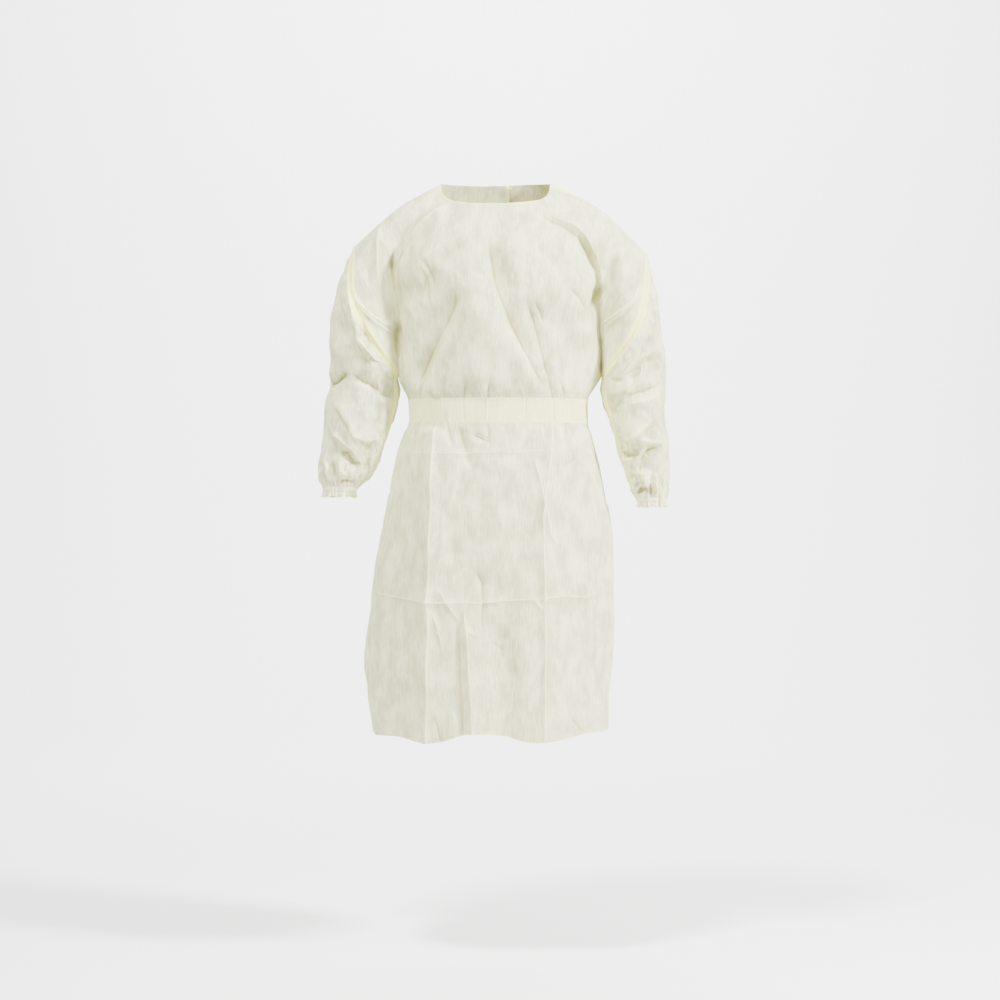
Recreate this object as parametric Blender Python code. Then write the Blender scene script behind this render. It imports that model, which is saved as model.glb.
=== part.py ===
"""Cover gown of pale yellow non-woven cloth, hollow and in the pose it is worn in.

Metres, +Z up. The wearer faces -Y, so the wearer's right is -X. The origin is the middle of the
neck opening at the height of the shoulders, where the wearer carries the gown.

The cloth is one smooth surface, made of rows from the hem up to the neckline, two shoulder caps
in front, two behind, and two sleeve tubes. It is folded as a whole, then cut into the pieces a
maker sews together, and each piece gets its thickness.
"""

from collections import namedtuple

import bpy
import numpy as np

# Cloth and seams
CLOTH = 0.0016
SEAM_GAP = 0.0003
REST_GAP = 0.0003

# Grid of the cloth surface
FRONT_COLUMNS = 22
BACK_COLUMNS = 12
CAP_COLUMNS = 5
SLEEVE_ROWS = 17
CUFF_ROWS = 2
DENSE = 241

# Open back: each half passes the middle by this share of the back's width
LAP_SHARE = 0.09
LAP_SPACING = 0.0044

# The way out at the cloth's borders is measured this far inside, in table rows and in width
BORDER_ROWS = 0.05
BORDER_SHARE = 0.03

# Belt, its knot and its two hanging ends
BELT_CLOTH = 0.0012
BELT_KNOT_REACH = 0.0098
BELT_FILL = 0.88
BELT_FILL_AT_KNOT = 0.50
BELT_NARROWING = 0.055
BELT_CLIMB_START = 0.02
KNOT_SIZE = (0.032, 0.020, 0.036)
KNOT_BOXINESS = 0.75
KNOT_RINGS = 7
KNOT_SIDES = 16
END_LENGTH = 0.27
END_WIDTH = 0.046
END_NECK_WIDTH = 0.014
END_START = 0.009
END_SPREAD = 0.012
END_LEAN = 0.13
END_CURL = 0.004
END_CLEARANCE = 0.0095
END_LIFT = 0.0023
END_ROWS = 12
END_COLUMNS = 4

# The shares of an end's length in which it widens, spreads to the side and reaches the skirt
END_WIDENS = 0.35
END_SPREADS = 0.30
END_LANDS = 0.22

# Fastening tab at the nape. Its rows lie this many grid rows below the neckline. Its columns are
# grid columns from the edge of the outer half, inwards on that half and then past it on the inner
# half, where each also says how much of the step between the halves is left to climb down.
TAB_LOW_ROW = 1.2
TAB_HIGH_ROW = 0.25
TAB_ROWS = 3
TAB_CLOTH = 0.0014
TAB_GAP = 0.0007
TAB_ON_OUTER = (2.0, 1.5, 1.0, 0.5, 0.0)
TAB_ON_INNER = ((0.55, 0.75), (1.0, 0.25), (1.5, 0.0), (2.0, 0.0))

# How far each shoulder line rises above a straight line from the neck to the sleeve seam
RIGHT_SHOULDER_RISE = 0.015
LEFT_SHOULDER_RISE = 0.025

# A shoulder cap swells by this share of its width, and above this share of its height it turns
# from facing forwards to facing up
CAP_FULLNESS = 0.10
CAP_TURN = 0.35
CAP_SWELL = 1.3

# How far the armhole seams hang below a straight cut, in front and behind
RIGHT_SEAM_DROOP = 0.010
LEFT_SEAM_DROOP = 0.024

# Gathers at the elastic cuffs
GATHERS = 7
GATHER_DEPTH = 0.0028
GATHER_REACH = 0.060

Row = namedtuple(
    "Row",
    "name rows front_z back_z side_z right left front_crease back_crease front back square lean",
)


def level(name, rows, z, right, left, front, back, square=2.4):
    """A row below the arms, level all round, with no crease between the arm and the chest."""
    return Row(name, rows, z, z, z, right, left, 0.0, 0.0, front, back, square, 0.0)


# Rows of the body from the hem to the neckline. "rows" is the number of grid rows up to the next
# one. The z columns are heights at the middle of the front, of the back and at the side. "right"
# and "left" are how far the side is from the middle, "front" and "back" the depth of the middle,
# and the creases the depth of the fold that parts the arm from the chest. "square" is how boxy
# the row is, and "lean" how gently it runs into the crease.
BODY = [
    level("hem", 2, -1.115, 0.247, 0.228, 0.165, 0.165),
    level("shin", 2, -1.040, 0.257, 0.229, 0.165, 0.165),
    level("side point", 2, -0.959, 0.264, 0.234, 0.163, 0.163),
    level("knee", 3, -0.880, 0.253, 0.238, 0.161, 0.161),
    level("thigh", 3, -0.760, 0.239, 0.239, 0.156, 0.157),
    level("hip", 2, -0.640, 0.218, 0.224, 0.148, 0.147),
    level("belly", 1, -0.555, 0.205, 0.208, 0.138, 0.134),
    level("below belt", 1, -0.502, 0.187, 0.192, 0.125, 0.120),
    level("belt low", 2, -0.4840, 0.176, 0.186, 0.117, 0.112, 2.3),
    level("belt high", 1, -0.4320, 0.178, 0.186, 0.117, 0.112, 2.3),
    level("blouse", 1, -0.415, 0.188, 0.199, 0.129, 0.123),
    Row("underarm", 2, -0.391, -0.391, -0.391, 0.199, 0.215, 0.0, 0.0, 0.137, 0.133, 2.5, 0.30),
    Row("ribs", 2, -0.327, -0.327, -0.333, 0.197, 0.2135, 0.016, 0.018, 0.141, 0.138, 2.5, 0.45),
    Row("chest", 2, -0.262, -0.262, -0.270, 0.195, 0.207, 0.028, 0.034, 0.141, 0.141, 2.5, 0.45),
    Row("high chest", 2, -0.205, -0.205, -0.208, 0.193, 0.205, 0.042, 0.050, 0.136, 0.139, 2.4, 0.45),
    Row("armpit", 1, -0.160, -0.152, -0.156, 0.190, 0.199, 0.052, 0.058, 0.127, 0.132, 2.3, 0.35),
    Row("collar bone", 1, -0.120, -0.098, -0.106, 0.174, 0.177, 0.056, 0.062, 0.117, 0.120, 2.2, 0.60),
    Row("shoulder", 1, -0.089, -0.052, -0.056, 0.150, 0.152, 0.048, 0.050, 0.107, 0.104, 2.2, 0.60),
    Row("neck side", 1, -0.064, -0.018, -0.016, 0.128, 0.128, 0.028, 0.030, 0.098, 0.091, 2.2, 0.30),
    Row("neckline", 0, -0.0434, 0.012, 0.006, 0.112, 0.110, 0.0, 0.0, 0.090, 0.078, 2.2, 0.0),
]
NAMES = [row.name for row in BODY]
UNDERARM = NAMES.index("underarm")
BELT_LOW = NAMES.index("belt low")
BELT_HIGH = NAMES.index("belt high")
NECKLINE = NAMES.index("neckline")
NECK_SQUARE = 3.2
GENTLE_SQUARE = 2.2

# The hem's own height along the front and the back, which fades into the level rows above it
HemPoint = namedtuple("HemPoint", "x z")
HEM_FRONT = [
    HemPoint(-0.247, -1.114),
    HemPoint(-0.205, -1.112),
    HemPoint(-0.165, -1.120),
    HemPoint(-0.134, -1.1245),
    HemPoint(-0.102, -1.1205),
    HemPoint(-0.080, -1.107),
    HemPoint(-0.047, -1.103),
    HemPoint(0.000, -1.105),
    HemPoint(0.037, -1.111),
    HemPoint(0.063, -1.124),
    HemPoint(0.096, -1.1215),
    HemPoint(0.140, -1.116),
    HemPoint(0.190, -1.107),
    HemPoint(0.228, -1.106),
]
HEM_BACK = [
    HemPoint(-0.247, -1.114),
    HemPoint(-0.125, -1.121),
    HemPoint(-0.010, -1.113),
    HemPoint(0.120, -1.122),
    HemPoint(0.228, -1.106),
]
HEM_FADE = 0.16

# A sleeve is a tube. "outer" and "inner" are how far its two sides are from the gown's middle,
# "depth" is half its depth, and "forward" how far its middle lies in front of the shoulder.
Ring = namedtuple("Ring", "name z outer inner depth forward")
RIGHT_SLEEVE = [
    Ring("seam top", -0.125, 0.292, 0.198, 0.046, 0.0),
    Ring("cap", -0.170, 0.311, 0.200, 0.056, 0.0),
    Ring("upper arm", -0.231, 0.3385, 0.203, 0.065, 0.0),
    Ring("biceps", -0.292, 0.3475, 0.205, 0.070, 0.0),
    Ring("above elbow", -0.346, 0.3445, 0.205, 0.071, 0.0),
    Ring("underarm", -0.391, 0.3485, 0.199, 0.070, 0.0),
    Ring("elbow fold", -0.419, 0.3405, 0.1955, 0.067, -0.002),
    Ring("elbow", -0.444, 0.3570, 0.199, 0.066, -0.004),
    Ring("forearm", -0.480, 0.3530, 0.211, 0.062, -0.007),
    Ring("mid forearm", -0.517, 0.3505, 0.223, 0.058, -0.010),
    Ring("low forearm", -0.552, 0.3600, 0.235, 0.055, -0.013),
    Ring("above cuff", -0.591, 0.3595, 0.2515, 0.050, -0.016),
    Ring("overhang", -0.603, 0.3570, 0.2640, 0.044, -0.017),
    Ring("cuff seam", -0.6130, 0.3510, 0.2795, 0.034, -0.018),
    Ring("cuff end", -0.6335, 0.3515, 0.2865, 0.031, -0.019),
]
LEFT_SLEEVE = [
    Ring("seam top", -0.141, 0.311, 0.213, 0.046, 0.0),
    Ring("cap", -0.172, 0.317, 0.216, 0.053, 0.0),
    Ring("upper arm", -0.231, 0.3360, 0.220, 0.063, 0.0),
    Ring("biceps", -0.292, 0.3465, 0.222, 0.069, 0.0),
    Ring("above elbow", -0.346, 0.3520, 0.222, 0.071, 0.0),
    Ring("underarm", -0.391, 0.3535, 0.215, 0.070, 0.0),
    Ring("elbow fold", -0.419, 0.3515, 0.2125, 0.067, -0.002),
    Ring("elbow", -0.444, 0.3490, 0.219, 0.065, -0.004),
    Ring("forearm", -0.480, 0.3470, 0.231, 0.061, -0.007),
    Ring("mid forearm", -0.520, 0.3545, 0.243, 0.058, -0.010),
    Ring("low forearm", -0.566, 0.3510, 0.257, 0.055, -0.013),
    Ring("above cuff", -0.606, 0.3530, 0.272, 0.049, -0.016),
    Ring("overhang", -0.626, 0.3525, 0.277, 0.043, -0.018),
    Ring("cuff seam", -0.6355, 0.3465, 0.2850, 0.034, -0.019),
    Ring("cuff end", -0.654, 0.3445, 0.2895, 0.031, -0.020),
]

# The largest folds, as lines seen from in front or behind. "height" stands out of the cloth, or
# into it if below 0, and the widths are how far the fold spreads to the line's two sides.
Fold = namedtuple("Fold", "name face top_x top_z low_x low_z height width_right width_left")
FRONT, BACK = -1, 1
FOLDS = [
    Fold("right press ridge", FRONT, -0.122, -0.500, -0.138, -1.150, 0.011, 0.020, 0.050),
    Fold("right side hollow", FRONT, -0.168, -0.530, -0.190, -1.150, -0.012, 0.030, 0.026),
    Fold("left press ridge", FRONT, 0.112, -0.500, 0.096, -1.150, 0.007, 0.040, 0.026),
    Fold("middle ridge", FRONT, -0.066, -0.850, -0.046, -1.150, 0.010, 0.018, 0.040),
    Fold("middle hollow", FRONT, -0.092, -0.800, -0.078, -1.150, -0.007, 0.024, 0.020),
    Fold("left hem hollow", FRONT, 0.030, -0.900, 0.040, -1.150, -0.006, 0.040, 0.024),
    Fold("left side hollow", FRONT, 0.165, -0.520, 0.175, -1.100, -0.006, 0.034, 0.034),
    Fold("right chest fold", FRONT, -0.078, -0.190, -0.168, -0.425, -0.015, 0.034, 0.022),
    Fold("right chest ridge", FRONT, -0.060, -0.190, -0.120, -0.425, 0.006, 0.022, 0.030),
    Fold("middle chest fold", FRONT, -0.014, -0.120, 0.040, -0.320, -0.010, 0.018, 0.024),
    Fold("low chest fold", FRONT, 0.058, -0.225, 0.110, -0.425, -0.010, 0.020, 0.024),
    Fold("left chest fold", FRONT, 0.108, -0.235, 0.180, -0.425, -0.013, 0.028, 0.034),
    Fold("right neck drag", FRONT, -0.040, -0.085, -0.176, -0.215, 0.006, 0.022, 0.022),
    Fold("left neck drag", FRONT, 0.085, -0.055, 0.196, -0.190, -0.008, 0.022, 0.022),
    Fold("right cap fold", FRONT, -0.215, -0.110, -0.205, -0.300, -0.009, 0.026, 0.022),
    Fold("left cap fold", FRONT, 0.235, -0.115, 0.222, -0.300, -0.008, 0.022, 0.026),
    Fold("right elbow ridge", FRONT, -0.300, -0.215, -0.205, -0.400, 0.010, 0.030, 0.020),
    Fold("right elbow hollow", FRONT, -0.348, -0.405, -0.262, -0.400, -0.010, 0.016, 0.020),
    Fold("right forearm ridge", FRONT, -0.345, -0.450, -0.262, -0.535, 0.009, 0.018, 0.022),
    Fold("right forearm hollow", FRONT, -0.330, -0.530, -0.268, -0.575, -0.007, 0.016, 0.016),
    Fold("left elbow ridge", FRONT, 0.330, -0.250, 0.222, -0.400, 0.009, 0.024, 0.030),
    Fold("left elbow hollow", FRONT, 0.350, -0.360, 0.260, -0.395, -0.008, 0.018, 0.018),
    Fold("left forearm ridge", FRONT, 0.345, -0.470, 0.262, -0.520, 0.009, 0.018, 0.020),
    Fold("left forearm hollow", FRONT, 0.344, -0.535, 0.290, -0.585, -0.008, 0.016, 0.016),
    Fold("right back ridge", BACK, -0.105, -0.500, -0.130, -1.150, 0.010, 0.032, 0.032),
    Fold("right back hollow", BACK, -0.160, -0.520, -0.180, -1.150, -0.010, 0.030, 0.026),
    Fold("left back ridge", BACK, 0.110, -0.500, 0.128, -1.150, 0.010, 0.032, 0.032),
    Fold("left back hollow", BACK, 0.160, -0.520, 0.176, -1.150, -0.010, 0.026, 0.030),
    Fold("right blade fold", BACK, -0.100, -0.150, -0.150, -0.425, -0.011, 0.026, 0.030),
    Fold("left blade fold", BACK, 0.110, -0.160, 0.150, -0.425, -0.011, 0.030, 0.026),
    Fold("right back elbow fold", BACK, -0.340, -0.400, -0.225, -0.440, -0.009, 0.020, 0.020),
    Fold("left back elbow fold", BACK, 0.340, -0.395, 0.235, -0.435, -0.009, 0.020, 0.020),
    Fold("right back sleeve fold", BACK, -0.300, -0.230, -0.230, -0.380, -0.008, 0.022, 0.022),
    Fold("left back sleeve fold", BACK, 0.305, -0.240, 0.240, -0.380, -0.008, 0.022, 0.022),
]
FOLD_TAPER = 0.18
FOLD_FACING = 0.5
BELT_CALM = 0.022
BELT_CALM_EDGE = 0.002

# Finishes, as colour, roughness
CLOTH_FINISH = ((0.86, 0.87, 0.70), 0.85)
BELT_FINISH = ((0.84, 0.85, 0.69), 0.85)
TAB_FINISH = ((0.90, 0.90, 0.84), 0.80)


def smoothstep(share):
    share = np.clip(share, 0.0, 1.0)
    return share * share * (3.0 - 2.0 * share)


def through(keys, values, at):
    """A smooth curve through a table's values that never passes beyond two neighbours."""
    keys, values = np.asarray(keys, float), np.asarray(values, float)
    step = np.diff(keys)
    slope = np.diff(values) / step
    tangent = np.zeros(len(keys))
    tangent[0], tangent[-1] = slope[0], slope[-1]
    same_way = slope[:-1] * slope[1:] > 0
    mean = 2.0 * slope[:-1] * slope[1:] / np.where(same_way, slope[:-1] + slope[1:], 1.0)
    tangent[1:-1] = np.where(same_way, mean, 0.0)
    at = np.clip(np.asarray(at, float), keys[0], keys[-1])
    i = np.clip(np.searchsorted(keys, at, side="right") - 1, 0, len(keys) - 2)
    u = (at - keys[i]) / step[i]
    return (
        (1 + 2 * u) * (1 - u) ** 2 * values[i]
        + u * (1 - u) ** 2 * step[i] * tangent[i]
        + u**2 * (3 - 2 * u) * values[i + 1]
        + u**2 * (u - 1) * step[i] * tangent[i + 1]
    )


def evenly(points, shares):
    """Points at these shares of a line's length."""
    along = np.concatenate([[0.0], np.cumsum(np.linalg.norm(np.diff(points, axis=0), axis=1))])
    at = np.asarray(shares) * along[-1]
    return np.stack([np.interp(at, along, points[:, k]) for k in range(3)], axis=1)


def body_row(face, place):
    """The body's cloth at a place in the table of rows, as a dense line from right to left."""
    at = {
        name: through(range(len(BODY)), [getattr(row, name) for row in BODY], place)
        for name in Row._fields[2:]
    }
    middle_z, crease, depth = (
        (at["front_z"], at["front_crease"], at["front"])
        if face == FRONT
        else (at["back_z"], at["back_crease"], at["back"])
    )
    across = np.sin(np.linspace(-np.pi / 2, np.pi / 2, DENSE))
    out = np.abs(across)
    boxy = np.maximum(1.0 - out ** at["square"], 0.0) ** (1.0 / at["square"])
    gentle = 1.0 - out**GENTLE_SQUARE
    bulge = boxy + (gentle - boxy) * at["lean"]
    flat = np.maximum(1.0 - out**NECK_SQUARE, 0.0) ** (1.0 / NECK_SQUARE)
    x = (at["left"] - at["right"]) / 2 + (at["left"] + at["right"]) / 2 * across
    y = face * (crease + (depth - crease) * bulge)
    z = at["side_z"] + (middle_z - at["side_z"]) * flat
    hem = HEM_FRONT if face == FRONT else HEM_BACK
    drop = through([p.x for p in hem], [p.z for p in hem], x) - BODY[0].side_z
    z = z + drop * smoothstep(1.0 - (z - BODY[0].side_z) / HEM_FADE)
    return np.stack([x, y, z], axis=1)


def body_point(face, place, share):
    return evenly(body_row(face, place), [share])[0]


def body_normal(face, place, share, step=0.02):
    """The way out of the cloth at a point of the body."""
    across = body_point(face, place, share + step) - body_point(face, place, share - step)
    up = body_point(face, min(place + step, NECKLINE), share) - body_point(face, place - step, share)
    normal = np.cross(across, up) * -face
    return normal / np.linalg.norm(normal)


def grid_places():
    """Every grid row's place in the table of rows."""
    places = [i + k / row.rows for i, row in enumerate(BODY) for k in range(row.rows)]
    return places + [float(NECKLINE)]


PLACES = grid_places()
BELT_ROW = (PLACES.index(BELT_LOW) + PLACES.index(BELT_HIGH)) // 2
YOKE_PLACES = [p for p in PLACES if p >= UNDERARM]
YOKE_ROWS = len(YOKE_PLACES) - 1


def sleeve_point(sleeve, side, angle, z):
    """A point of the sleeve tube. Angle 0 is its outer side, and half pi its front."""
    heights = [-ring.z for ring in sleeve]
    at = {
        name: through(heights, [getattr(ring, name) for ring in sleeve], -z)
        for name in ("outer", "inner", "depth", "forward")
    }
    middle, half = (at["outer"] + at["inner"]) / 2, (at["outer"] - at["inner"]) / 2
    x = side * (middle + half * np.cos(angle))
    y = at["forward"] - at["depth"] * np.sin(angle)
    return np.stack([x, y, z + 0.0 * x], axis=-1)


def tilted_ring(sleeve, side, angles, outer_z, inner_z):
    """A ring round the sleeve, as slanted as its two sides' heights, that hangs a little."""
    z = inner_z + (outer_z - inner_z) * (1 + np.cos(angles)) / 2
    slant = (outer_z - inner_z) / (sleeve[0].z - BODY[UNDERARM].side_z)
    droop = LEFT_SEAM_DROOP if side > 0 else RIGHT_SEAM_DROOP
    return sleeve_point(sleeve, side, angles, z - droop * slant * np.sin(angles) ** 2)


def armhole_angles(sleeve, side):
    """Angles from the underarm round the front to the seam's top and on round the back."""
    dense = np.linspace(np.pi, 0.0, DENSE)
    line = tilted_ring(sleeve, side, dense, sleeve[0].z, BODY[UNDERARM].side_z)
    along = np.concatenate([[0.0], np.cumsum(np.linalg.norm(np.diff(line, axis=0), axis=1))])
    front = np.interp(np.linspace(0, along[-1], YOKE_ROWS + 1), along, dense)
    return front, -front[::-1]


def armhole(sleeve, side, face):
    """The armhole seam from the underarm up to the top, in front or behind."""
    front, _ = armhole_angles(sleeve, side)
    angles = front if face == FRONT else -front
    line = tilted_ring(sleeve, side, angles, sleeve[0].z, BODY[UNDERARM].side_z)
    underarm = BODY[UNDERARM]
    line[0] = [underarm.left if side > 0 else -underarm.right, 0.0, underarm.side_z]
    return line


def cap_grid(sleeve, side, face, rise):
    """The shoulder cap, in rows from the crease beside the chest out to the armhole seam."""
    seam = armhole(sleeve, side, face)
    grid = []
    for j, place in enumerate(YOKE_PLACES):
        crease = body_point(face, place, 1.0 if side > 0 else 0.0)
        height = smoothstep((j / YOKE_ROWS - CAP_TURN) / (1 - CAP_TURN))
        out = np.array([0.0, face * (1 - height), height])
        out /= np.linalg.norm(out)
        full = CAP_FULLNESS * np.linalg.norm(seam[j] - crease) * (1 - height) + rise * height
        share = np.linspace(0.0, 1.0, CAP_COLUMNS + 1)[:, None]
        swell = np.sin(np.pi * share) ** CAP_SWELL
        grid.append(crease + (seam[j] - crease) * share + out * full * swell)
    return np.array(grid)


def sleeve_grid(sleeve, side):
    """The sleeve in rings from the armhole to the cuff seam, and the cuff in rings below it."""
    front, back = armhole_angles(sleeve, side)
    start = np.concatenate([front, back[1:]])
    even = np.linspace(np.pi, -np.pi, len(start))
    cuff_z, end_z = sleeve[-2].z, sleeve[-1].z
    rings = []
    for k in range(SLEEVE_ROWS + 1):
        share = k / SLEEVE_ROWS
        angles = start + (even - start) * share
        outer_z = sleeve[0].z + (cuff_z - sleeve[0].z) * share
        inner_z = BODY[UNDERARM].side_z + (cuff_z - BODY[UNDERARM].side_z) * share
        rings.append(tilted_ring(sleeve, side, angles, outer_z, inner_z))
    first = np.concatenate([armhole(sleeve, side, FRONT), armhole(sleeve, side, BACK)[::-1][1:]])
    rings[0] = first
    cuff = [rings[-1]]
    for k in range(1, CUFF_ROWS + 1):
        z = cuff_z + (end_z - cuff_z) * k / CUFF_ROWS
        cuff.append(sleeve_point(sleeve, side, even, z))
    for ring in rings + cuff[1:]:
        ring[-1] = ring[0]
    return np.array(rings), np.array(cuff)


def lap_back(place, shares, way):
    """A row of one half of the back, moved out or in so that the two halves can lap."""
    row = evenly(body_row(BACK, place), shares)
    from_side = shares if shares[0] == 0.0 else 1.0 - shares
    lift = way * LAP_SPACING / 2 * smoothstep(from_side / (0.5 - LAP_SHARE))
    inner_place = np.clip(place, BORDER_ROWS, NECKLINE - BORDER_ROWS)
    inner_shares = np.clip(shares, BORDER_SHARE, 1.0 - BORDER_SHARE)
    normals = np.array([body_normal(BACK, inner_place, share) for share in inner_shares])
    return row + normals * lift[:, None]


def cloth_patches():
    """Every piece's patches: grids of points that share their edges with their neighbours."""
    shares = np.linspace(0.0, 1.0, FRONT_COLUMNS + 1)
    right_half = np.linspace(0.0, 0.5 + LAP_SHARE, BACK_COLUMNS + 1)
    left_half = np.linspace(0.5 - LAP_SHARE, 1.0, BACK_COLUMNS + 1)
    front = np.array([evenly(body_row(FRONT, place), shares) for place in PLACES])
    back_right = np.array([lap_back(place, right_half, -1) for place in PLACES])
    back_left = np.array([lap_back(place, left_half, 1) for place in PLACES])
    right_sleeve, right_cuff = sleeve_grid(RIGHT_SLEEVE, -1)
    left_sleeve, left_cuff = sleeve_grid(LEFT_SLEEVE, 1)

    def right_cap(face):
        return cap_grid(RIGHT_SLEEVE, -1, face, RIGHT_SHOULDER_RISE)

    def left_cap(face):
        return cap_grid(LEFT_SLEEVE, 1, face, LEFT_SHOULDER_RISE)

    return {
        "front": [front, right_cap(FRONT), left_cap(FRONT)],
        "back_right": [back_right, right_cap(BACK)],
        "back_left": [back_left, left_cap(BACK)],
        "sleeve_right": [right_sleeve],
        "sleeve_left": [left_sleeve],
        "cuff_right": [right_cuff],
        "cuff_left": [left_cuff],
    }


def key_of(point):
    return tuple(np.round(np.asarray(point) * 1e5).astype(int))


def sewn(grid):
    """A patch's points and faces, with points that lie in the same place made one."""
    index, points, faces = {}, [], []
    rows, columns = grid.shape[:2]
    at = np.empty((rows, columns), int)
    for r in range(rows):
        for c in range(columns):
            key = key_of(grid[r, c])
            if key not in index:
                index[key] = len(points)
                points.append(grid[r, c])
            at[r, c] = index[key]
    for r in range(rows - 1):
        for c in range(columns - 1):
            corners = [at[r, c], at[r, c + 1], at[r + 1, c + 1], at[r + 1, c]]
            corners = [v for k, v in enumerate(corners) if v != corners[k - 1]]
            if len(corners) > 2:
                faces.append(corners)
    return np.array(points), faces


def face_normal(points, face):
    corners = points[face]
    return np.cross(corners[2] - corners[0], corners[-1] - corners[1])


def turned_out(points, faces, inside):
    """The faces with their corners ordered so that they look away from the line inside."""
    votes = 0.0
    for face in faces:
        middle = points[face].mean(axis=0)
        votes += np.dot(face_normal(points, face), middle - inside(middle))
    return faces if votes > 0 else [face[::-1] for face in faces]


def unit(vector):
    return vector / np.linalg.norm(vector)


def shared_normals(pieces):
    """The way out at every point, averaged by angle over all the pieces that meet there."""
    total = {}
    for points, faces in pieces.values():
        for face in faces:
            normal = unit(face_normal(points, face))
            for k, v in enumerate(face):
                after = face[(k + 1) % len(face)]
                one, other = unit(points[face[k - 1]] - points[v]), unit(points[after] - points[v])
                angle = np.arccos(np.clip(np.dot(one, other), -1.0, 1.0))
                key = key_of(points[v])
                total[key] = total.get(key, 0.0) + normal * angle
    return {key: unit(n) for key, n in total.items()}


def fold_shift(point, normal):
    """How far the folds move a point out of the cloth."""
    x, _, z = point
    shift = 0.0
    for fold in FOLDS:
        facing = smoothstep(normal[1] * fold.face / FOLD_FACING)
        if facing == 0.0:
            continue
        run = np.array([fold.low_x - fold.top_x, fold.low_z - fold.top_z])
        length = np.hypot(*run)
        along = ((x - fold.top_x) * run[0] + (z - fold.top_z) * run[1]) / length
        aside = ((x - fold.top_x) * run[1] - (z - fold.top_z) * run[0]) / -length
        width = fold.width_left if aside > 0 else fold.width_right
        taper = smoothstep(along / (FOLD_TAPER * length)) * smoothstep(
            (length - along) / (FOLD_TAPER * length)
        )
        shift += fold.height * facing * taper * np.exp(-((aside / width) ** 2))
    belt_z = (BODY[BELT_LOW].side_z + BODY[BELT_HIGH].side_z) / 2
    belt_half = (BODY[BELT_HIGH].side_z - BODY[BELT_LOW].side_z) / 2
    on_body = abs(x) < BODY[BELT_LOW].left + BELT_CALM
    from_belt = abs(z - belt_z) - belt_half - BELT_CALM_EDGE
    return shift * smoothstep(from_belt / BELT_CALM) if on_body else shift


def gather_shift(point):
    """The small waves round the elastic cuffs and the cloth just above them."""
    sleeve, side = (LEFT_SLEEVE, 1) if point[0] > 0 else (RIGHT_SLEEVE, -1)
    seam_z = sleeve[-2].z
    if abs(point[0]) < 0.24 or point[2] > seam_z + GATHER_REACH:
        return 0.0
    seam = sleeve[-2]
    middle = side * (seam.outer + seam.inner) / 2
    angle = np.arctan2(-(point[1] - seam.forward), side * (point[0] - middle))
    strength = smoothstep(1.0 - (point[2] - seam_z) / GATHER_REACH)
    return GATHER_DEPTH * strength * np.cos(GATHERS * angle)


def folded(patches, normals):
    """The patches with the folds and gathers worked in, the same on both sides of a seam."""

    def moved(point):
        normal = normals[key_of(point)]
        return point + normal * (fold_shift(point, normal) + gather_shift(point))

    return {
        name: [np.array([[moved(point) for point in row] for row in grid]) for grid in grids]
        for name, grids in patches.items()
    }


def rim_edges(faces):
    """The edges of an open sheet that only one face uses, in that face's direction."""
    used = {(face[k - 1], face[k]) for face in faces for k in range(len(face))}
    return [(a, b) for a, b in used if (b, a) not in used]


def trimmed(pieces, underarms):
    """The pieces drawn back from the seams they share with others, and the way out at each point.

    At an underarm point the body and the sleeve meet back to back, so each piece is drawn back
    there by its own half thickness too, and its thickness lies along that same way.
    """
    owners = {}
    for name, (points, faces) in pieces.items():
        for point in points:
            owners.setdefault(key_of(point), set()).add(name)
    normals = shared_normals(pieces)
    cut = {}
    for name, (points, faces) in pieces.items():
        rim = {v for edge in rim_edges(faces) for v in edge}
        inward = {v: np.zeros(3) for v in rim}
        tangent = {v: np.zeros(3) for v in rim}
        for face in faces:
            middle = points[face].mean(axis=0)
            for v in face:
                if v in rim:
                    inward[v] += middle - points[v]
        for a, b in rim_edges(faces):
            run = points[b] - points[a]
            tangent[a] += unit(run)
            tangent[b] += unit(run)
        new, thick = points.copy(), []
        for v, point in enumerate(points):
            normal = normals[key_of(point)]
            thick.append(normal)
            if v not in rim or len(owners[key_of(point)]) < 2:
                continue
            if key_of(point) in underarms:
                new[v] = point + unit(inward[v]) * (CLOTH / 2 + SEAM_GAP)
                own = [unit(face_normal(points, face)) for face in faces if v in face]
                lean = np.mean(own, axis=0) if name.startswith("sleeve") else 0.0
                thick[-1] = unit(unit(inward[v]) + lean)
                continue
            way = inward[v] - normal * np.dot(inward[v], normal)
            if len(owners[key_of(point)]) == 2 and np.linalg.norm(tangent[v]) > 1.0:
                line = unit(tangent[v])
                way = way - line * np.dot(way, line)
            new[v] = point + unit(way) * SEAM_GAP / 2
        cut[name] = (new, faces, np.array(thick))
    return cut


def split(points, face):
    """A face as triangles, cut along its shorter diagonal."""
    if len(face) == 3:
        return [face]
    a, b, c, d = face
    if np.linalg.norm(points[a] - points[c]) < np.linalg.norm(points[b] - points[d]):
        return [[a, b, c], [a, c, d]]
    return [[a, b, d], [b, c, d]]


def walled(points, faces, normals, thickness):
    """A sheet's points and faces given a thickness, half to each side of it."""
    count = len(points)
    outer = points + normals * thickness / 2
    inner = points - normals * thickness / 2
    shell = [half for face in faces for half in split(points, face)]
    shell += [[v + count for v in half[::-1]] for half in shell]
    shell += [[b, a, a + count, b + count] for a, b in rim_edges(faces)]
    return np.concatenate([outer, inner]), shell


def material(name, finish):
    colour, roughness = finish
    made = bpy.data.materials.new(name)
    made.use_nodes = True
    shader = made.node_tree.nodes["Principled BSDF"]
    shader.inputs["Base Color"].default_value = (*colour, 1.0)
    shader.inputs["Roughness"].default_value = roughness
    shader.inputs["Metallic"].default_value = 0.0
    return made


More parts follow.
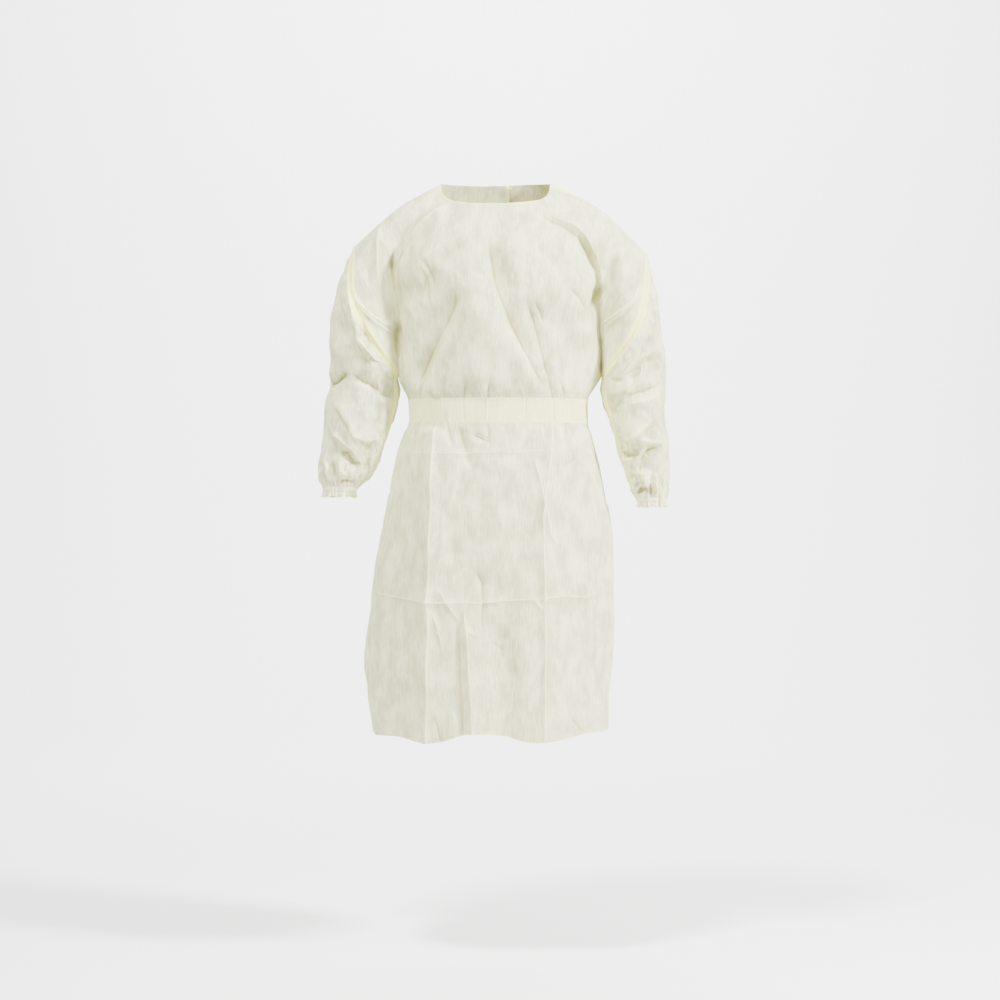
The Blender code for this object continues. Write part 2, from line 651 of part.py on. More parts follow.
def add_object(name, points, faces, finish):
    mesh = bpy.data.meshes.new(name)
    mesh.from_pydata([tuple(p) for p in points], [], faces)
    mesh.validate()
    mesh.shade_smooth()
    mesh.set_sharp_from_angle(angle=np.radians(50.0))
    mesh.materials.append(material(name, finish))
    made = bpy.data.objects.new(name, mesh)
    bpy.context.scene.collection.objects.link(made)
    return made


def grid_faces(rows, columns):
    return [
        [r * columns + c, r * columns + c + 1, (r + 1) * columns + c + 1, (r + 1) * columns + c]
        for r in range(rows - 1)
        for c in range(columns - 1)
    ]


def add_strip(name, grid, thickness, finish):
    """A strip of cloth from a grid of points. Its first columns lie on the back, facing +Y."""
    points = grid.reshape(-1, 3)
    faces = grid_faces(*grid.shape[:2])
    total = sum(face_normal(points, face) for face in faces[: len(faces) // 8 + 1])
    if total[1] < 0:
        faces = [face[::-1] for face in faces]
    normals = np.zeros_like(points)
    for face in faces:
        normals[face] += face_normal(points, face)
    normals /= np.linalg.norm(normals, axis=1)[:, None]
    return add_object(name, *walled(points, faces, normals, thickness), finish)


def inside_line(name):
    """The line inside a piece that its outer face looks away from."""
    if name.startswith(("sleeve", "cuff")):
        sleeve, side = (RIGHT_SLEEVE, -1) if name.endswith("right") else (LEFT_SLEEVE, 1)

        def line(middle):
            both_sides = sleeve_point(sleeve, side, np.array([0.0, np.pi]), middle[2])
            return both_sides.mean(axis=0)

        return line
    return lambda middle: np.array([0.0, 0.0, min(middle[2], -0.12)])


def sewn_pieces(patches):
    """Each piece's points and faces, from its patches."""
    pieces = {}
    for name, grids in patches.items():
        points, faces = [], []
        for grid in grids:
            patch_points, patch_faces = sewn(grid)
            patch_faces = turned_out(patch_points, patch_faces, inside_line(name))
            faces += [[v + len(points) for v in face] for face in patch_faces]
            points += list(patch_points)
        pieces[name] = joined(np.array(points), faces)
    return pieces


def add_cloth_pieces(patches):
    """Front, two halves of the back, sleeves and cuffs."""
    underarms = {key_of(cap[0, 0]) for cap in patches["front"][1:]}
    for name, (points, faces, normals) in trimmed(sewn_pieces(patches), underarms).items():
        add_object(name, *walled(points, faces, normals, CLOTH), CLOTH_FINISH)


def joined(points, faces):
    """Points that lie in the same place made one."""
    index, kept, new = {}, [], []
    for point in points:
        key = key_of(point)
        if key not in index:
            index[key] = len(kept)
            kept.append(point)
        new.append(index[key])
    return np.array(kept), [[new[v] for v in face] for face in faces]


def on_body(face, place, share, out):
    """A point this far out of the folded cloth of the body."""
    point, normal = body_point(face, place, share), body_normal(face, place, share)
    return point + normal * (fold_shift(point, normal) + out)


def on_grid(grid, normals, row, column, out):
    """A point of the finished cloth, at a place between grid rows and columns, moved out."""
    r = min(int(row), grid.shape[0] - 2)
    c = min(int(column), grid.shape[1] - 2)
    up, across = row - r, column - c

    def between(corner):
        low = corner(r, c) * (1 - across) + corner(r, c + 1) * across
        high = corner(r + 1, c) * (1 - across) + corner(r + 1, c + 1) * across
        return low * (1 - up) + high * up

    normal = between(lambda i, j: normals[key_of(grid[i, j])])
    return between(lambda i, j: grid[i, j]) + normal / np.linalg.norm(normal) * out


def back_share(column, side):
    """The share of the back's width, from the right, of a column of one of its halves."""
    reach = (0.5 + LAP_SHARE) * column / BACK_COLUMNS
    return reach if side < 0 else 0.5 - LAP_SHARE + reach


def belt_stations(patches):
    """Where the belt's columns lie: the panel's grid, the column in it, and how far out."""
    over = (CLOTH + BELT_CLOTH) / 2 + REST_GAP
    front, right, left = (patches[name][0] for name in ("front", "back_right", "back_left"))
    back_width = np.linalg.norm(np.diff(right[BELT_ROW], axis=0), axis=1).sum() / (0.5 + LAP_SHARE)
    knot_reach = BELT_KNOT_REACH / back_width
    columns_a_share = BACK_COLUMNS / (0.5 + LAP_SHARE)
    right_end = (LAP_SHARE - knot_reach) * columns_a_share
    left_end = (LAP_SHARE + knot_reach) * columns_a_share
    over_lap = [(left, c, over) for c in np.append(np.arange(0, np.ceil(right_end)), right_end)]
    lap_starts = 0.5 - LAP_SHARE
    on_right = [c for c in range(1, BACK_COLUMNS) if back_share(c, -1) < lap_starts - BELT_CLIMB_START]
    stations = over_lap[::-1]
    for c in on_right[::-1]:
        climb = smoothstep(back_share(c, -1) / lap_starts * 2 - 1)
        stations.append((right, c, over + LAP_SPACING * climb))
    stations += [(front, c, over) for c in range(FRONT_COLUMNS + 1)]
    stations += [(left, c, over) for c in range(BACK_COLUMNS - 1, int(left_end), -1)]
    return stations + [(left, left_end, over)]


def add_belt(patches, normals):
    """The belt: one strip round the waist, whose ends meet the knot at the middle of the back."""
    stations = belt_stations(patches)
    half = BODY[BELT_LOW].rows / 2
    middles = np.array([on_grid(g, normals, BELT_ROW, c, out) for g, c, out in stations])
    along = np.concatenate([[0.0], np.cumsum(np.linalg.norm(np.diff(middles, axis=0), axis=1))])
    grid = []
    for (panel, column, out), reach in zip(stations, np.minimum(along, along[-1] - along)):
        widening = smoothstep(reach / BELT_NARROWING)
        fill = BELT_FILL_AT_KNOT + (BELT_FILL - BELT_FILL_AT_KNOT) * widening
        rows = [BELT_ROW + up * half * fill for up in (-1.0, 0.0, 1.0)]
        grid.append([on_grid(panel, normals, row, column, out) for row in rows])
    add_strip("belt", np.array(grid), BELT_CLOTH, BELT_FINISH)


def knot_middle():
    back = BODY[BELT_LOW].back
    out = back + LAP_SPACING / 2 + CLOTH / 2 + REST_GAP
    z = (BODY[BELT_LOW].side_z + BODY[BELT_HIGH].side_z) / 2
    centre_x = (BODY[BELT_LOW].left - BODY[BELT_LOW].right) / 2
    return np.array([centre_x, out + KNOT_SIZE[1] / 2, z])


def add_knot():
    """The belt's knot: a rounded lump, flatter where it lies on the back."""
    middle = knot_middle()
    points, faces = [], []
    for ring in range(1, KNOT_RINGS):
        tilt = np.pi * ring / KNOT_RINGS
        for turn in np.linspace(0.0, 2 * np.pi, KNOT_SIDES, endpoint=False):
            way = np.array([np.sin(tilt) * np.cos(turn), np.sin(tilt) * np.sin(turn), np.cos(tilt)])
            shape = np.sign(way) * np.abs(way) ** KNOT_BOXINESS
            points.append(middle + shape * np.array(KNOT_SIZE) / 2)
    for tip in (1, -1):
        points.append(middle + np.array([0.0, 0.0, tip * KNOT_SIZE[2] / 2]))
    for ring in range(KNOT_RINGS - 2):
        for k in range(KNOT_SIDES):
            a, b = ring * KNOT_SIDES + k, ring * KNOT_SIDES + (k + 1) % KNOT_SIDES
            faces.append([a, a + KNOT_SIDES, b + KNOT_SIDES, b])
    top, bottom = len(points) - 2, len(points) - 1
    last = (KNOT_RINGS - 2) * KNOT_SIDES
    for k in range(KNOT_SIDES):
        faces.append([top, k, (k + 1) % KNOT_SIDES])
        faces.append([bottom, last + (k + 1) % KNOT_SIDES, last + k])
    add_object("belt_knot", np.array(points), faces, BELT_FINISH)


def add_belt_end(name, side):
    """One end of the belt, hanging from the knot down the back of the skirt."""
    middle = knot_middle()
    start_z = middle[2] - KNOT_SIZE[2] / 2 + END_LIFT
    heights = [row.side_z for row in BODY[: UNDERARM + 1]]
    grid = []
    for down in np.linspace(0.0, 1.0, END_ROWS + 1):
        z = start_z - END_LENGTH * down
        spread = smoothstep(down / END_SPREADS)
        width = END_NECK_WIDTH + (END_WIDTH - END_NECK_WIDTH) * smoothstep(down / END_WIDENS)
        x_middle = side * (END_START + END_LEAN * END_LENGTH * down + END_SPREAD * spread)
        place = np.interp(z, heights, range(UNDERARM + 1))
        row = body_row(BACK, place)
        length = np.linalg.norm(np.diff(row, axis=0), axis=1).sum()
        line = []
        for across in np.linspace(-0.5, 0.5, END_COLUMNS + 1):
            share = 0.5 + (x_middle + across * width) / length
            curl = END_CURL * np.cos(across * 2 * np.pi) * spread
            hang = middle[1] - BODY[BELT_LOW].back - END_CLEARANCE
            out = END_CLEARANCE + curl + hang * smoothstep(1.0 - down / END_LANDS)
            line.append(on_body(BACK, place, share, out))
        grid.append(line)
    add_strip(name, np.array(grid), BELT_CLOTH, BELT_FINISH)


def add_tab(patches, normals):
    """The fastening tab at the nape, sewn to the outer half and reaching over the inner one."""
    right, left = patches["back_right"][0], patches["back_left"][0]
    top = len(PLACES) - 1
    rows = np.linspace(top - TAB_LOW_ROW, top - TAB_HIGH_ROW, TAB_ROWS + 1)
    over = (CLOTH + TAB_CLOTH) / 2 + TAB_GAP
    lap_columns = (0.5 - LAP_SHARE) / (0.5 + LAP_SHARE) * BACK_COLUMNS
    grid = []
    for row in rows:
        line = [on_grid(left, normals, row, column, over) for column in TAB_ON_OUTER]
        for past, climb in TAB_ON_INNER:
            out = over + LAP_SPACING * climb
            line.append(on_grid(right, normals, row, lap_columns - past, out))
        grid.append(line)
    add_strip("neck_tab", np.array(grid), TAB_CLOTH, TAB_FINISH)


def main():
    for old in list(bpy.data.objects):
        bpy.data.objects.remove(old)
    flat = cloth_patches()
    patches = folded(flat, shared_normals(sewn_pieces(flat)))
    normals = shared_normals(sewn_pieces(patches))
    add_cloth_pieces(patches)
    add_belt(patches, normals)
    add_knot()
    add_belt_end("belt_end_right", -1)
    add_belt_end("belt_end_left", 1)
    add_tab(patches, normals)


main()
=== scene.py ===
"""Looks of the cover gown: thin creased cloth on the frame's pieces, its belt and its tab.

Each cloth piece starts as the outer side of its solid's wall. It is laid flat for its pattern,
made finer, creased by listed folds and small wrinkles, and given the cloth's own thickness.
"""

from collections import namedtuple
import bmesh
import bpy
import numpy as np
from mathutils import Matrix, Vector
from mathutils.kdtree import KDTree


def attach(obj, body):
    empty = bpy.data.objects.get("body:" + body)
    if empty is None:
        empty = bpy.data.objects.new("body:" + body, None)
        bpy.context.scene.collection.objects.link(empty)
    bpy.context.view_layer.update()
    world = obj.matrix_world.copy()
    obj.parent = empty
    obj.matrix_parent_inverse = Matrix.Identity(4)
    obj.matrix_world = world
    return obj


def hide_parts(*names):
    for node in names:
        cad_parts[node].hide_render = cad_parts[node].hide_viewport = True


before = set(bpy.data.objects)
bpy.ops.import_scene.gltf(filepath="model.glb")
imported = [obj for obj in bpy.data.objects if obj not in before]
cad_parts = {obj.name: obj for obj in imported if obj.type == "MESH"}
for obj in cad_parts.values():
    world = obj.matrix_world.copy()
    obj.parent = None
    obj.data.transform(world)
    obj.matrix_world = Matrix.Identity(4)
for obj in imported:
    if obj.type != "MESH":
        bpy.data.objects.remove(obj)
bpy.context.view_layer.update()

# Thickness of the cloth, and the longest side of a face on the narrow edge of a solid's wall
CLOTH = 0.0007
BELT_CLOTH = 0.0008
TAB_CLOTH = 0.0012
WALL_EDGE = 0.0024

# Seams: how near two rims are if they are sewn, the width of the doubled edge beside a seam,
# and how far from it the folds, the first wrinkles and the simulation of the sleeves are calmed
SEWN_WITHIN = 0.0045
SEAM_ALLOWANCE = 0.009
SEAM_CALM = 0.010
SLEEVE_CALM = 0.025
HELD_REACH = 0.028
# How uneven the lower rim of a sleeve or cuff is
RIM_UNEVEN = 0.012

# The line inside each arm, from the shoulder down to the wrist, and the level of the armpits
ARM_TOP = -0.16
ARM_HEIGHT = 0.45
SHOULDER_X = 0.26
WRIST_OUT = 0.057
WRIST_AHEAD = 0.019
ARMPIT_Z = -0.12

# Simulation of the sleeves: how much too large they are cut, how far a point may move, frames
SLEEVE_SPARE = 0.035
SLEEVE_REACH = 0.007
SLEEVE_FRAMES = 24

# A sheet's outline keeps its corners under this angle when it is made finer
CORNER_ANGLE = np.radians(145.0)
# Edges that turn by more than this look sharp
SMOOTH_ANGLE = np.radians(60.0)
# Share of the faces that stays on the inside of the front, the largest piece
FRONT_INSIDE_KEPT = 0.9

# Folds: how many times its listed height each one gets, how far the cloth has to face the front
# or back for a whole fold, how long its tapered ends are, as a share of it and at most, and how
# much and over what length its height varies
FOLD_DEPTH = 2.4
FACING = 0.35
FADE_SHARE = 0.35
FADE_MOST = 0.045
VARIES = 0.3
VARIES_LENGTH = 0.021

# What the material shows of them: the curvature at which a valley is darkest with painted shade
# and a ridge lightest with a painted highlight, and a pressed line, a painted highlight where the
# fold stands out and painted shade where it lies in, on folds at least this crisp, which is full
# on a fold of this height, and its reach
VALLEY_CURVE = 90.0
CRISP_ENOUGH = 0.5
PRESS_HEIGHT = 0.0025
BELT_PRESS_HEIGHT = 0.0004
PRESS_REACH = 0.014

# Belt: how far its cloth stands out from its solid, and how much lower the edge of its front
# reaches, which comes in over this height below the middle and this depth from the sides
BELT_PROUD = 0.0004
BELT_WIDER = 0.0045
BELT_LOW_HALF = 0.022
BELT_WIDER_FADE = 0.040
# Levels between which the gown's cloth lies still under the belt, how far above and below them
# it is calmed, the share of a hollow that stays there, and how far out the arms begin
BELT_TOP = -0.431
BELT_BOTTOM = -0.490
BELT_CALM = 0.016
HOLLOWS_KEPT = 0.25
ARMS_BEYOND = 0.21
# The belt's turned edge, its width and step, and its pleats on both sides of the knot
BELT_HEM = 0.0045
BELT_HEM_STEP = 0.0003
BELT_PLEAT = 0.0042
BELT_PLEAT_HEIGHT = 0.0009
BELT_PLEAT_REACH = 0.075

# Knot: its middle, its strands, and the band that is wrapped aslant across them. The band's
# slope and the groove beside it are in halves of its width.
KNOT_MIDDLE = (0.0050, 0.1253, -0.4580)
KNOT_RADIUS = 0.015
KNOT_SUNK = 0.0006
BAND_TILT = np.radians(32.0)
BAND_HALF = 0.0075
BAND_HEIGHT = 0.0016
BAND_RIBS = 0.0004
BAND_SLOPE = 0.22
GROOVE_AT = 1.12
GROOVE_WIDTH = 0.20
GROOVE_DEPTH = 0.0013
STRANDS = 11.0
STRAND_HEIGHT = 0.0007

# Hanging ends of the belt. They start this far from the middle, swing out soon and spread on.
END_TOP = -0.4737
END_LENGTH = 0.27
END_MIDDLE_X = 0.0050
END_OUT = 0.009
END_SWING = 0.012
END_SPREAD = 0.035
# Their pleats at the knot, over this share of their length, and their creases across: how deep
# and wide these are, and the shares of the length at which they are
END_PLEAT = 0.0024
END_PLEAT_HEIGHT = 0.0011
PLEATED_SHARE = 0.24
END_CREASE_DEPTH = 0.0012
CREASE_SHARE = 0.012
RIGHT_END_CREASES = (0.47, 0.83)
LEFT_END_CREASES = (0.36, 0.71)

# Fastening tab: its relief, and how far its stitches are from its edge
TAB_RELIEF = 0.0002
TAB_STITCHES = 0.0025

# The camera stands this far in front, at the middle of the photographed height
CAMERA_X = 0.0082
CAMERA_Z = -0.640
CAMERA_DISTANCE = 5.0
VIEW_WIDTH = 2.045
SENSOR = 36.0

# Floor, and the wall that it bends up into behind the gown
FLOOR_Z = -1.56
FLOOR_SIZE = 14.0
FLOOR_BEND = 2.5
WALL_HEIGHT = 8.0

FRONT, BACK = -1, 1

Crease = namedtuple("Crease", "height right_hand left_hand crisp path")


def fold(height, right_hand, left_hand, crisp, *path):
    """A fold, listed in millimetres and kept in metres.

    Its path is seen from in front or behind, on the plane through the shoulders. It stands out
    of the cloth by its height, or goes into it if that is below 0. The widths are how far it
    spreads to the right and left hand of someone who follows the path. "crisp" is 0 for a soft
    swell and 1 for a pressed edge.
    """
    sizes = [round(size / 1000, 5) for size in (height, right_hand, left_hand)]
    places = [(round(x / 1000, 5), round(z / 1000, 5)) for x, z in path]
    return Crease(*sizes, crisp, places)


# Folds of the gown's front and back, of its sleeves and of its belt
BODY_FRONT = {
    "right chest trough": fold(
        -4.8, 12, 26, 0.65, (-80, -196), (-88, -231), (-112, -294), (-143, -356), (-170, -419),
    ),
    "bright chest panel": fold(3, 26, 30, 0, (-33, -170), (-33, -292), (-37, -427)),
    "middle chest trough": fold(
        -4.8, 10, 22, 0.65, (-20, -104), (-10, -139), (6, -215), (33, -282), (106, -419),
    ),
    "low chest trough": fold(-4, 10, 16, 0.65, (59, -225), (80, -278), (94, -335), (112, -403)),
    "left chest trough": fold(-4, 16, 26, 0.2, (110, -241), (139, -294), (157, -356), (180, -421)),
    "right drag ridge": fold(
        2.8, 18, 12, 0.4, (-37, -82), (-96, -112), (-149, -149), (-174, -184), (-194, -235),
    ),
    "right drag hollow": fold(
        -2.2, 12, 16, 0.2, (-57, -108), (-114, -153), (-145, -196), (-168, -247),
    ),
    "left drag hollow": fold(-2, 16, 14, 0.2, (49, -92), (102, -133), (143, -190), (172, -251)),
    "right cap seam": fold(
        2.6, 6, 6, 0.9, (-296, -205), (-282, -237), (-256, -264), (-229, -280), (-196, -290),
    ),
    "right cap seam, lower edge": fold(
        2, 6, 5, 0.9, (-293, -221), (-275, -253), (-248, -279), (-223, -293), (-197, -301),
    ),
    "left cap seam": fold(
        2.6, 6, 6, 0.9, (300, -183), (288, -214), (268, -244), (238, -268), (206, -286),
    ),
    "left cap seam, lower edge": fold(
        2, 5, 6, 0.9, (297, -202), (282, -233), (259, -260), (233, -281), (207, -298),
    ),
    "right waist pleat": fold(2.6, 8, 8, 0.7, (-127, -337), (-129, -382), (-123, -460)),
    "right small fold a": fold(
        -1.6, 6, 8, 0.6, (-170, -121), (-147, -153), (-127, -190), (-121, -227),
    ),
    "right small fold b": fold(-1.6, 6, 8, 0.6, (-157, -153), (-141, -200), (-135, -243)),
    "right small fold c": fold(1.6, 6, 6, 0.6, (-180, -231), (-164, -268), (-164, -313)),
    "left small fold a": fold(-1.6, 8, 6, 0.6, (143, -196), (172, -225), (188, -256), (194, -296)),
    "left small fold b": fold(-1.4, 6, 6, 0.6, (157, -153), (174, -182), (184, -211)),
    "left small fold c": fold(-1.8, 6, 8, 0.6, (74, -231), (92, -256), (100, -284)),
    "right neck drape": fold(
        4.6, 10, 20, 0.75, (-82, -39), (-112, -47), (-135, -63), (-155, -80), (-176, -108),
        (-190, -139), (-196, -180), (-196, -221),
    ),
    "right neck drape shadow": fold(-5, 9, 8, 0.7, (-209, -121), (-211, -153), (-202, -235)),
    "right arm pit shadow": fold(-4, 9, 9, 0.6, (-200, -268), (-200, -362)),
    "left neck drape": fold(
        -4, 12, 8, 0.6, (86, -53), (131, -74), (151, -88), (172, -102), (192, -133),
        (207, -170), (213, -206),
    ),
    "left neck drape edge": fold(
        4, 8, 12, 0.8, (115, -55), (155, -76), (184, -104), (207, -141), (219, -182),
        (221, -223),
    ),
    "left arm pit shadow": fold(-5, 9, 8, 0.6, (215, -190), (207, -231), (196, -264)),
    "right cap fold": fold(2.6, 10, 10, 0.5, (-229, -55), (-241, -108), (-243, -166), (-233, -231)),
    "right cap hollow": fold(-2.2, 10, 10, 0.3, (-254, -92), (-262, -149), (-258, -215)),
    "left cap fold": fold(-2.2, 10, 12, 0.4, (237, -100), (235, -153), (233, -211)),
    "left cap ridge": fold(2.2, 10, 12, 0.4, (252, -108), (258, -153), (262, -206)),
    "belt gather c up": fold(-2, 5, 6, 0.7, (-106, -378), (-108, -460)),
    "belt gather g up": fold(-2, 6, 7, 0.7, (-63, -391), (-67, -460)),
    "belt gather h up": fold(-1.8, 5, 8, 0.7, (-12, -374), (-20, -460)),
    "belt gather j up": fold(1.6, 6, 6, 0.7, (49, -395), (63, -460)),
    "belt gather l up": fold(-2.2, 6, 7, 0.7, (106, -370), (119, -460)),
    "belt gather m up": fold(-1.8, 6, 7, 0.7, (131, -382), (147, -460)),
    "belt gather b up": fold(-2, 6, 7, 0.7, (-153, -386), (-157, -460)),
    "belt gather d down": fold(-2.8, 7, 12, 0.5, (-108, -452), (-94, -513), (-80, -542)),
    "belt gather f down": fold(-3.4, 12, 16, 0.4, (-84, -452), (-67, -528), (-43, -591)),
    "belt gather h down": fold(-1.6, 6, 8, 0.6, (-18, -452), (-14, -530)),
    "belt gather i down": fold(-3.4, 10, 16, 0.3, (88, -470), (60, -528), (25, -583)),
    "belt gather k down": fold(1.8, 6, 7, 0.6, (90, -452), (96, -530)),
    "belt gather m down": fold(-2.4, 10, 12, 0.4, (143, -452), (147, -534), (131, -566)),
    "belt gather n down": fold(1.8, 8, 8, 0.5, (172, -452), (178, -542)),
    "belt gather a down": fold(-2, 8, 8, 0.5, (-164, -452), (-172, -542)),
    "left hip swell": fold(2.6, 14, 14, 0.1, (112, -532), (140, -534), (166, -524)),
    "left hip curve": fold(-1.6, 5, 6, 0.8, (110, -569), (131, -570), (151, -564), (172, -548)),
    "middle short fold": fold(-2.2, 6, 9, 0.7, (-56, -503), (-30, -514), (-6, -526)),
    "middle low fold": fold(-1.8, 8, 10, 0.4, (-16, -548), (20, -552), (50, -540)),
    "right press ridge": fold(
        4, 26, 10, 0.85, (-121, -460), (-127, -544), (-131, -634), (-133, -710), (-137, -818),
        (-139, -965), (-141, -1196),
    ),
    "left press ridge": fold(
        2.6, 12, 20, 0.8, (117, -460), (110, -562), (96, -673), (100, -855), (100, -965),
        (98, -1196),
    ),
    "left slanted crease": fold(
        2, 6, 9, 0.7, (76, -546), (92, -609), (102, -660), (110, -710), (127, -738),
    ),
    "middle sharp fold": fold(
        3.2, 10, 14, 0.8, (-67, -857), (-59, -928), (-53, -1018), (-45, -1196),
    ),
    "middle sharp hollow": fold(-2.4, 9, 8, 0.5, (-78, -902), (-74, -1008), (-67, -1196)),
    "curved crease": fold(
        -2, 5, 6, 0.8, (-57, -779), (-39, -791), (-29, -812), (-27, -851), (-31, -910),
    ),
    "cross press crease": fold(
        2, 5, 5, 0.9, (-262, -822), (-229, -832), (-188, -842), (-135, -851), (-29, -851),
        (8, -847), (100, -842), (143, -836), (184, -840), (229, -820),
    ),
    "upper cross crease": fold(
        1.1, 5, 5, 0.9, (-200, -538), (-147, -546), (-53, -544), (49, -542), (123, -538),
    ),
    "small slant a": fold(1.8, 5, 6, 0.8, (-121, -816), (-100, -855), (-70, -896)),
    "small slant b": fold(1.6, 5, 6, 0.8, (-135, -861), (-121, -898), (-106, -961)),
    "small slant c": fold(-1.8, 6, 6, 0.7, (-135, -1076), (-121, -1102), (-100, -1196)),
    "small slant d": fold(1.4, 4, 5, 0.8, (-61, -906), (-49, -914), (-35, -918)),
    "small slant e": fold(-1.4, 5, 5, 0.7, (-14, -926), (0, -937), (18, -949)),
    "small slant f": fold(-1.6, 5, 6, 0.7, (151, -1080), (168, -1098), (190, -1119)),
    "small slant g": fold(1.5, 5, 5, 0.8, (76, -840), (88, -857), (94, -871)),
    "skirt hollow a": fold(-2.6, 26, 26, 0, (8, -885), (16, -1008), (18, -1196)),
    "skirt swell a": fold(2.4, 24, 24, 0, (49, -763), (53, -926), (61, -1196)),
    "skirt hollow b": fold(-2.4, 24, 20, 0.1, (-180, -681), (-188, -844), (-192, -1196)),
    "skirt swell b": fold(2.2, 22, 24, 0.1, (-221, -722), (-229, -926), (-231, -1196)),
    "skirt hollow c": fold(-2.2, 24, 24, 0.1, (160, -599), (172, -804), (180, -1196)),
    "skirt hollow d": fold(-1.8, 20, 24, 0, (-53, -599), (-82, -681), (-90, -783)),
    "skirt swell d": fold(1.8, 30, 26, 0, (8, -640), (8, -722), (0, -824)),
}
SLEEVE_FRONT = {
    "right armhole ridge": fold(
        4.5, 8, 16, 0.7, (-305, -206), (-292, -256), (-282, -309), (-266, -333), (-245, -354),
        (-204, -397),
    ),
    "right armhole valley": fold(
        -5.5, 12, 12, 0.4, (-278, -268), (-260, -301), (-235, -337), (-202, -378),
    ),
    "right upper sleeve hollow": fold(-3, 14, 16, 0.2, (-315, -268), (-307, -323), (-286, -362)),
    "right outer ridge": fold(2.4, 10, 14, 0.3, (-333, -231), (-335, -303), (-323, -358)),
    "right elbow trough a": fold(
        -4.5, 12, 9, 0.6, (-348, -411), (-331, -399), (-317, -386), (-299, -382),
    ),
    "right elbow trough b": fold(
        -4.5, 9, 14, 0.6, (-299, -380), (-278, -393), (-258, -405), (-233, -417),
    ),
    "right elbow inner shadow": fold(-4, 10, 16, 0.4, (-252, -407), (-229, -423), (-198, -433)),
    "right facet edge": fold(
        3.4, 14, 20, 0.6, (-327, -444), (-309, -476), (-290, -509), (-270, -519), (-229, -509),
    ),
    "right facet hollow a": fold(-3.2, 14, 8, 0.4, (-339, -440), (-323, -472), (-297, -503)),
    "right facet hollow b": fold(-3, 12, 10, 0.4, (-288, -513), (-270, -528), (-254, -542)),
    "right long ridge": fold(
        3.6, 10, 12, 0.6, (-350, -476), (-323, -509), (-294, -536), (-278, -560), (-272, -599),
    ),
    "right curved trough": fold(
        -4.2, 12, 8, 0.7, (-325, -538), (-305, -544), (-288, -564), (-282, -579),
    ),
    "right cuff fold a": fold(3, 7, 7, 0.6, (-350, -542), (-344, -570), (-339, -609)),
    "right cuff fold b": fold(-3.2, 7, 8, 0.6, (-337, -554), (-333, -579), (-329, -603)),
    "right cuff fold c": fold(2.4, 6, 7, 0.6, (-319, -558), (-317, -595)),
    "right cuff fold d": fold(-2.2, 6, 6, 0.7, (-307, -562), (-311, -587)),
    "right cuff overhang": fold(
        -3.4, 9, 7, 0.7, (-329, -605), (-307, -601), (-292, -607), (-282, -618),
    ),
    "right cuff fold e": fold(2.4, 6, 6, 0.6, (-356, -562), (-358, -595), (-350, -620)),
    "right inner edge": fold(
        2.2, 9, 12, 0.4, (-225, -436), (-235, -497), (-249, -558), (-266, -607),
    ),
    "left armhole ridge": fold(
        4.8, 20, 12, 0.7, (297, -276), (280, -305), (254, -346), (225, -382),
    ),
    "left armhole valley": fold(
        -5.6, 18, 18, 0.4, (286, -264), (270, -292), (241, -329), (219, -366),
    ),
    "left armhole slit": fold(-5.1, 11, 11, 0.6, (301, -202), (299, -239), (294, -272)),
    "left upper hollow": fold(-1.4, 22, 22, 0.2, (319, -194), (329, -251), (331, -313)),
    "left elbow trough a": fold(
        -5.5, 14, 18, 0.5, (350, -340), (318, -353), (285, -372), (240, -398),
    ),
    "left elbow ridge a": fold(
        3.2, 18, 20, 0.4, (335, -331), (303, -341), (274, -358), (241, -395),
    ),
    "left elbow trough b": fold(
        -3.8, 12, 18, 0.5, (348, -398), (315, -412), (280, -424), (238, -430),
    ),
    "left elbow ridge b": fold(2.6, 14, 14, 0.5, (342, -420), (302, -438), (262, -446)),
    "left sleeve plane": fold(2.9, 20, 20, 0.3, (221, -427), (258, -415), (286, -403)),
    "left long ridge": fold(6, 18, 12, 0.7, (325, -466), (317, -478), (286, -505), (262, -525)),
    "left long hollow": fold(-4.5, 15, 16, 0.4, (337, -464), (327, -487), (303, -505), (294, -513)),
    "left v ridge": fold(4.4, 11, 12, 0.6, (286, -511), (311, -521), (342, -521)),
    "left v trough": fold(-6.6, 14, 10, 0.8, (346, -524), (321, -538), (301, -560), (290, -588)),
    "left dark pocket": fold(-3.7, 20, 20, 0.1, (270, -534), (274, -558)),
    "left cuff fold a": fold(-5, 8, 9, 0.7, (321, -580), (317, -615), (321, -638)),
    "left cuff fold b": fold(3.6, 8, 8, 0.6, (329, -579), (327, -611), (329, -636)),
    "left cuff fold c": fold(2.7, 11, 9, 0.6, (307, -587), (305, -620)),
    "left cuff fold d": fold(-2.7, 11, 9, 0.6, (297, -595), (290, -620), (284, -634)),
    "left cuff fold e": fold(-2.7, 9, 9, 0.6, (342, -595), (346, -620)),
    "left inner pucker a": fold(2.1, 7, 7, 0.7, (276, -597), (286, -607)),
    "left inner pucker b": fold(2.1, 7, 7, 0.7, (274, -611), (290, -618)),
    "left cuff overhang": fold(-3.6, 12, 11, 0.6, (282, -632), (301, -620), (315, -624)),
}

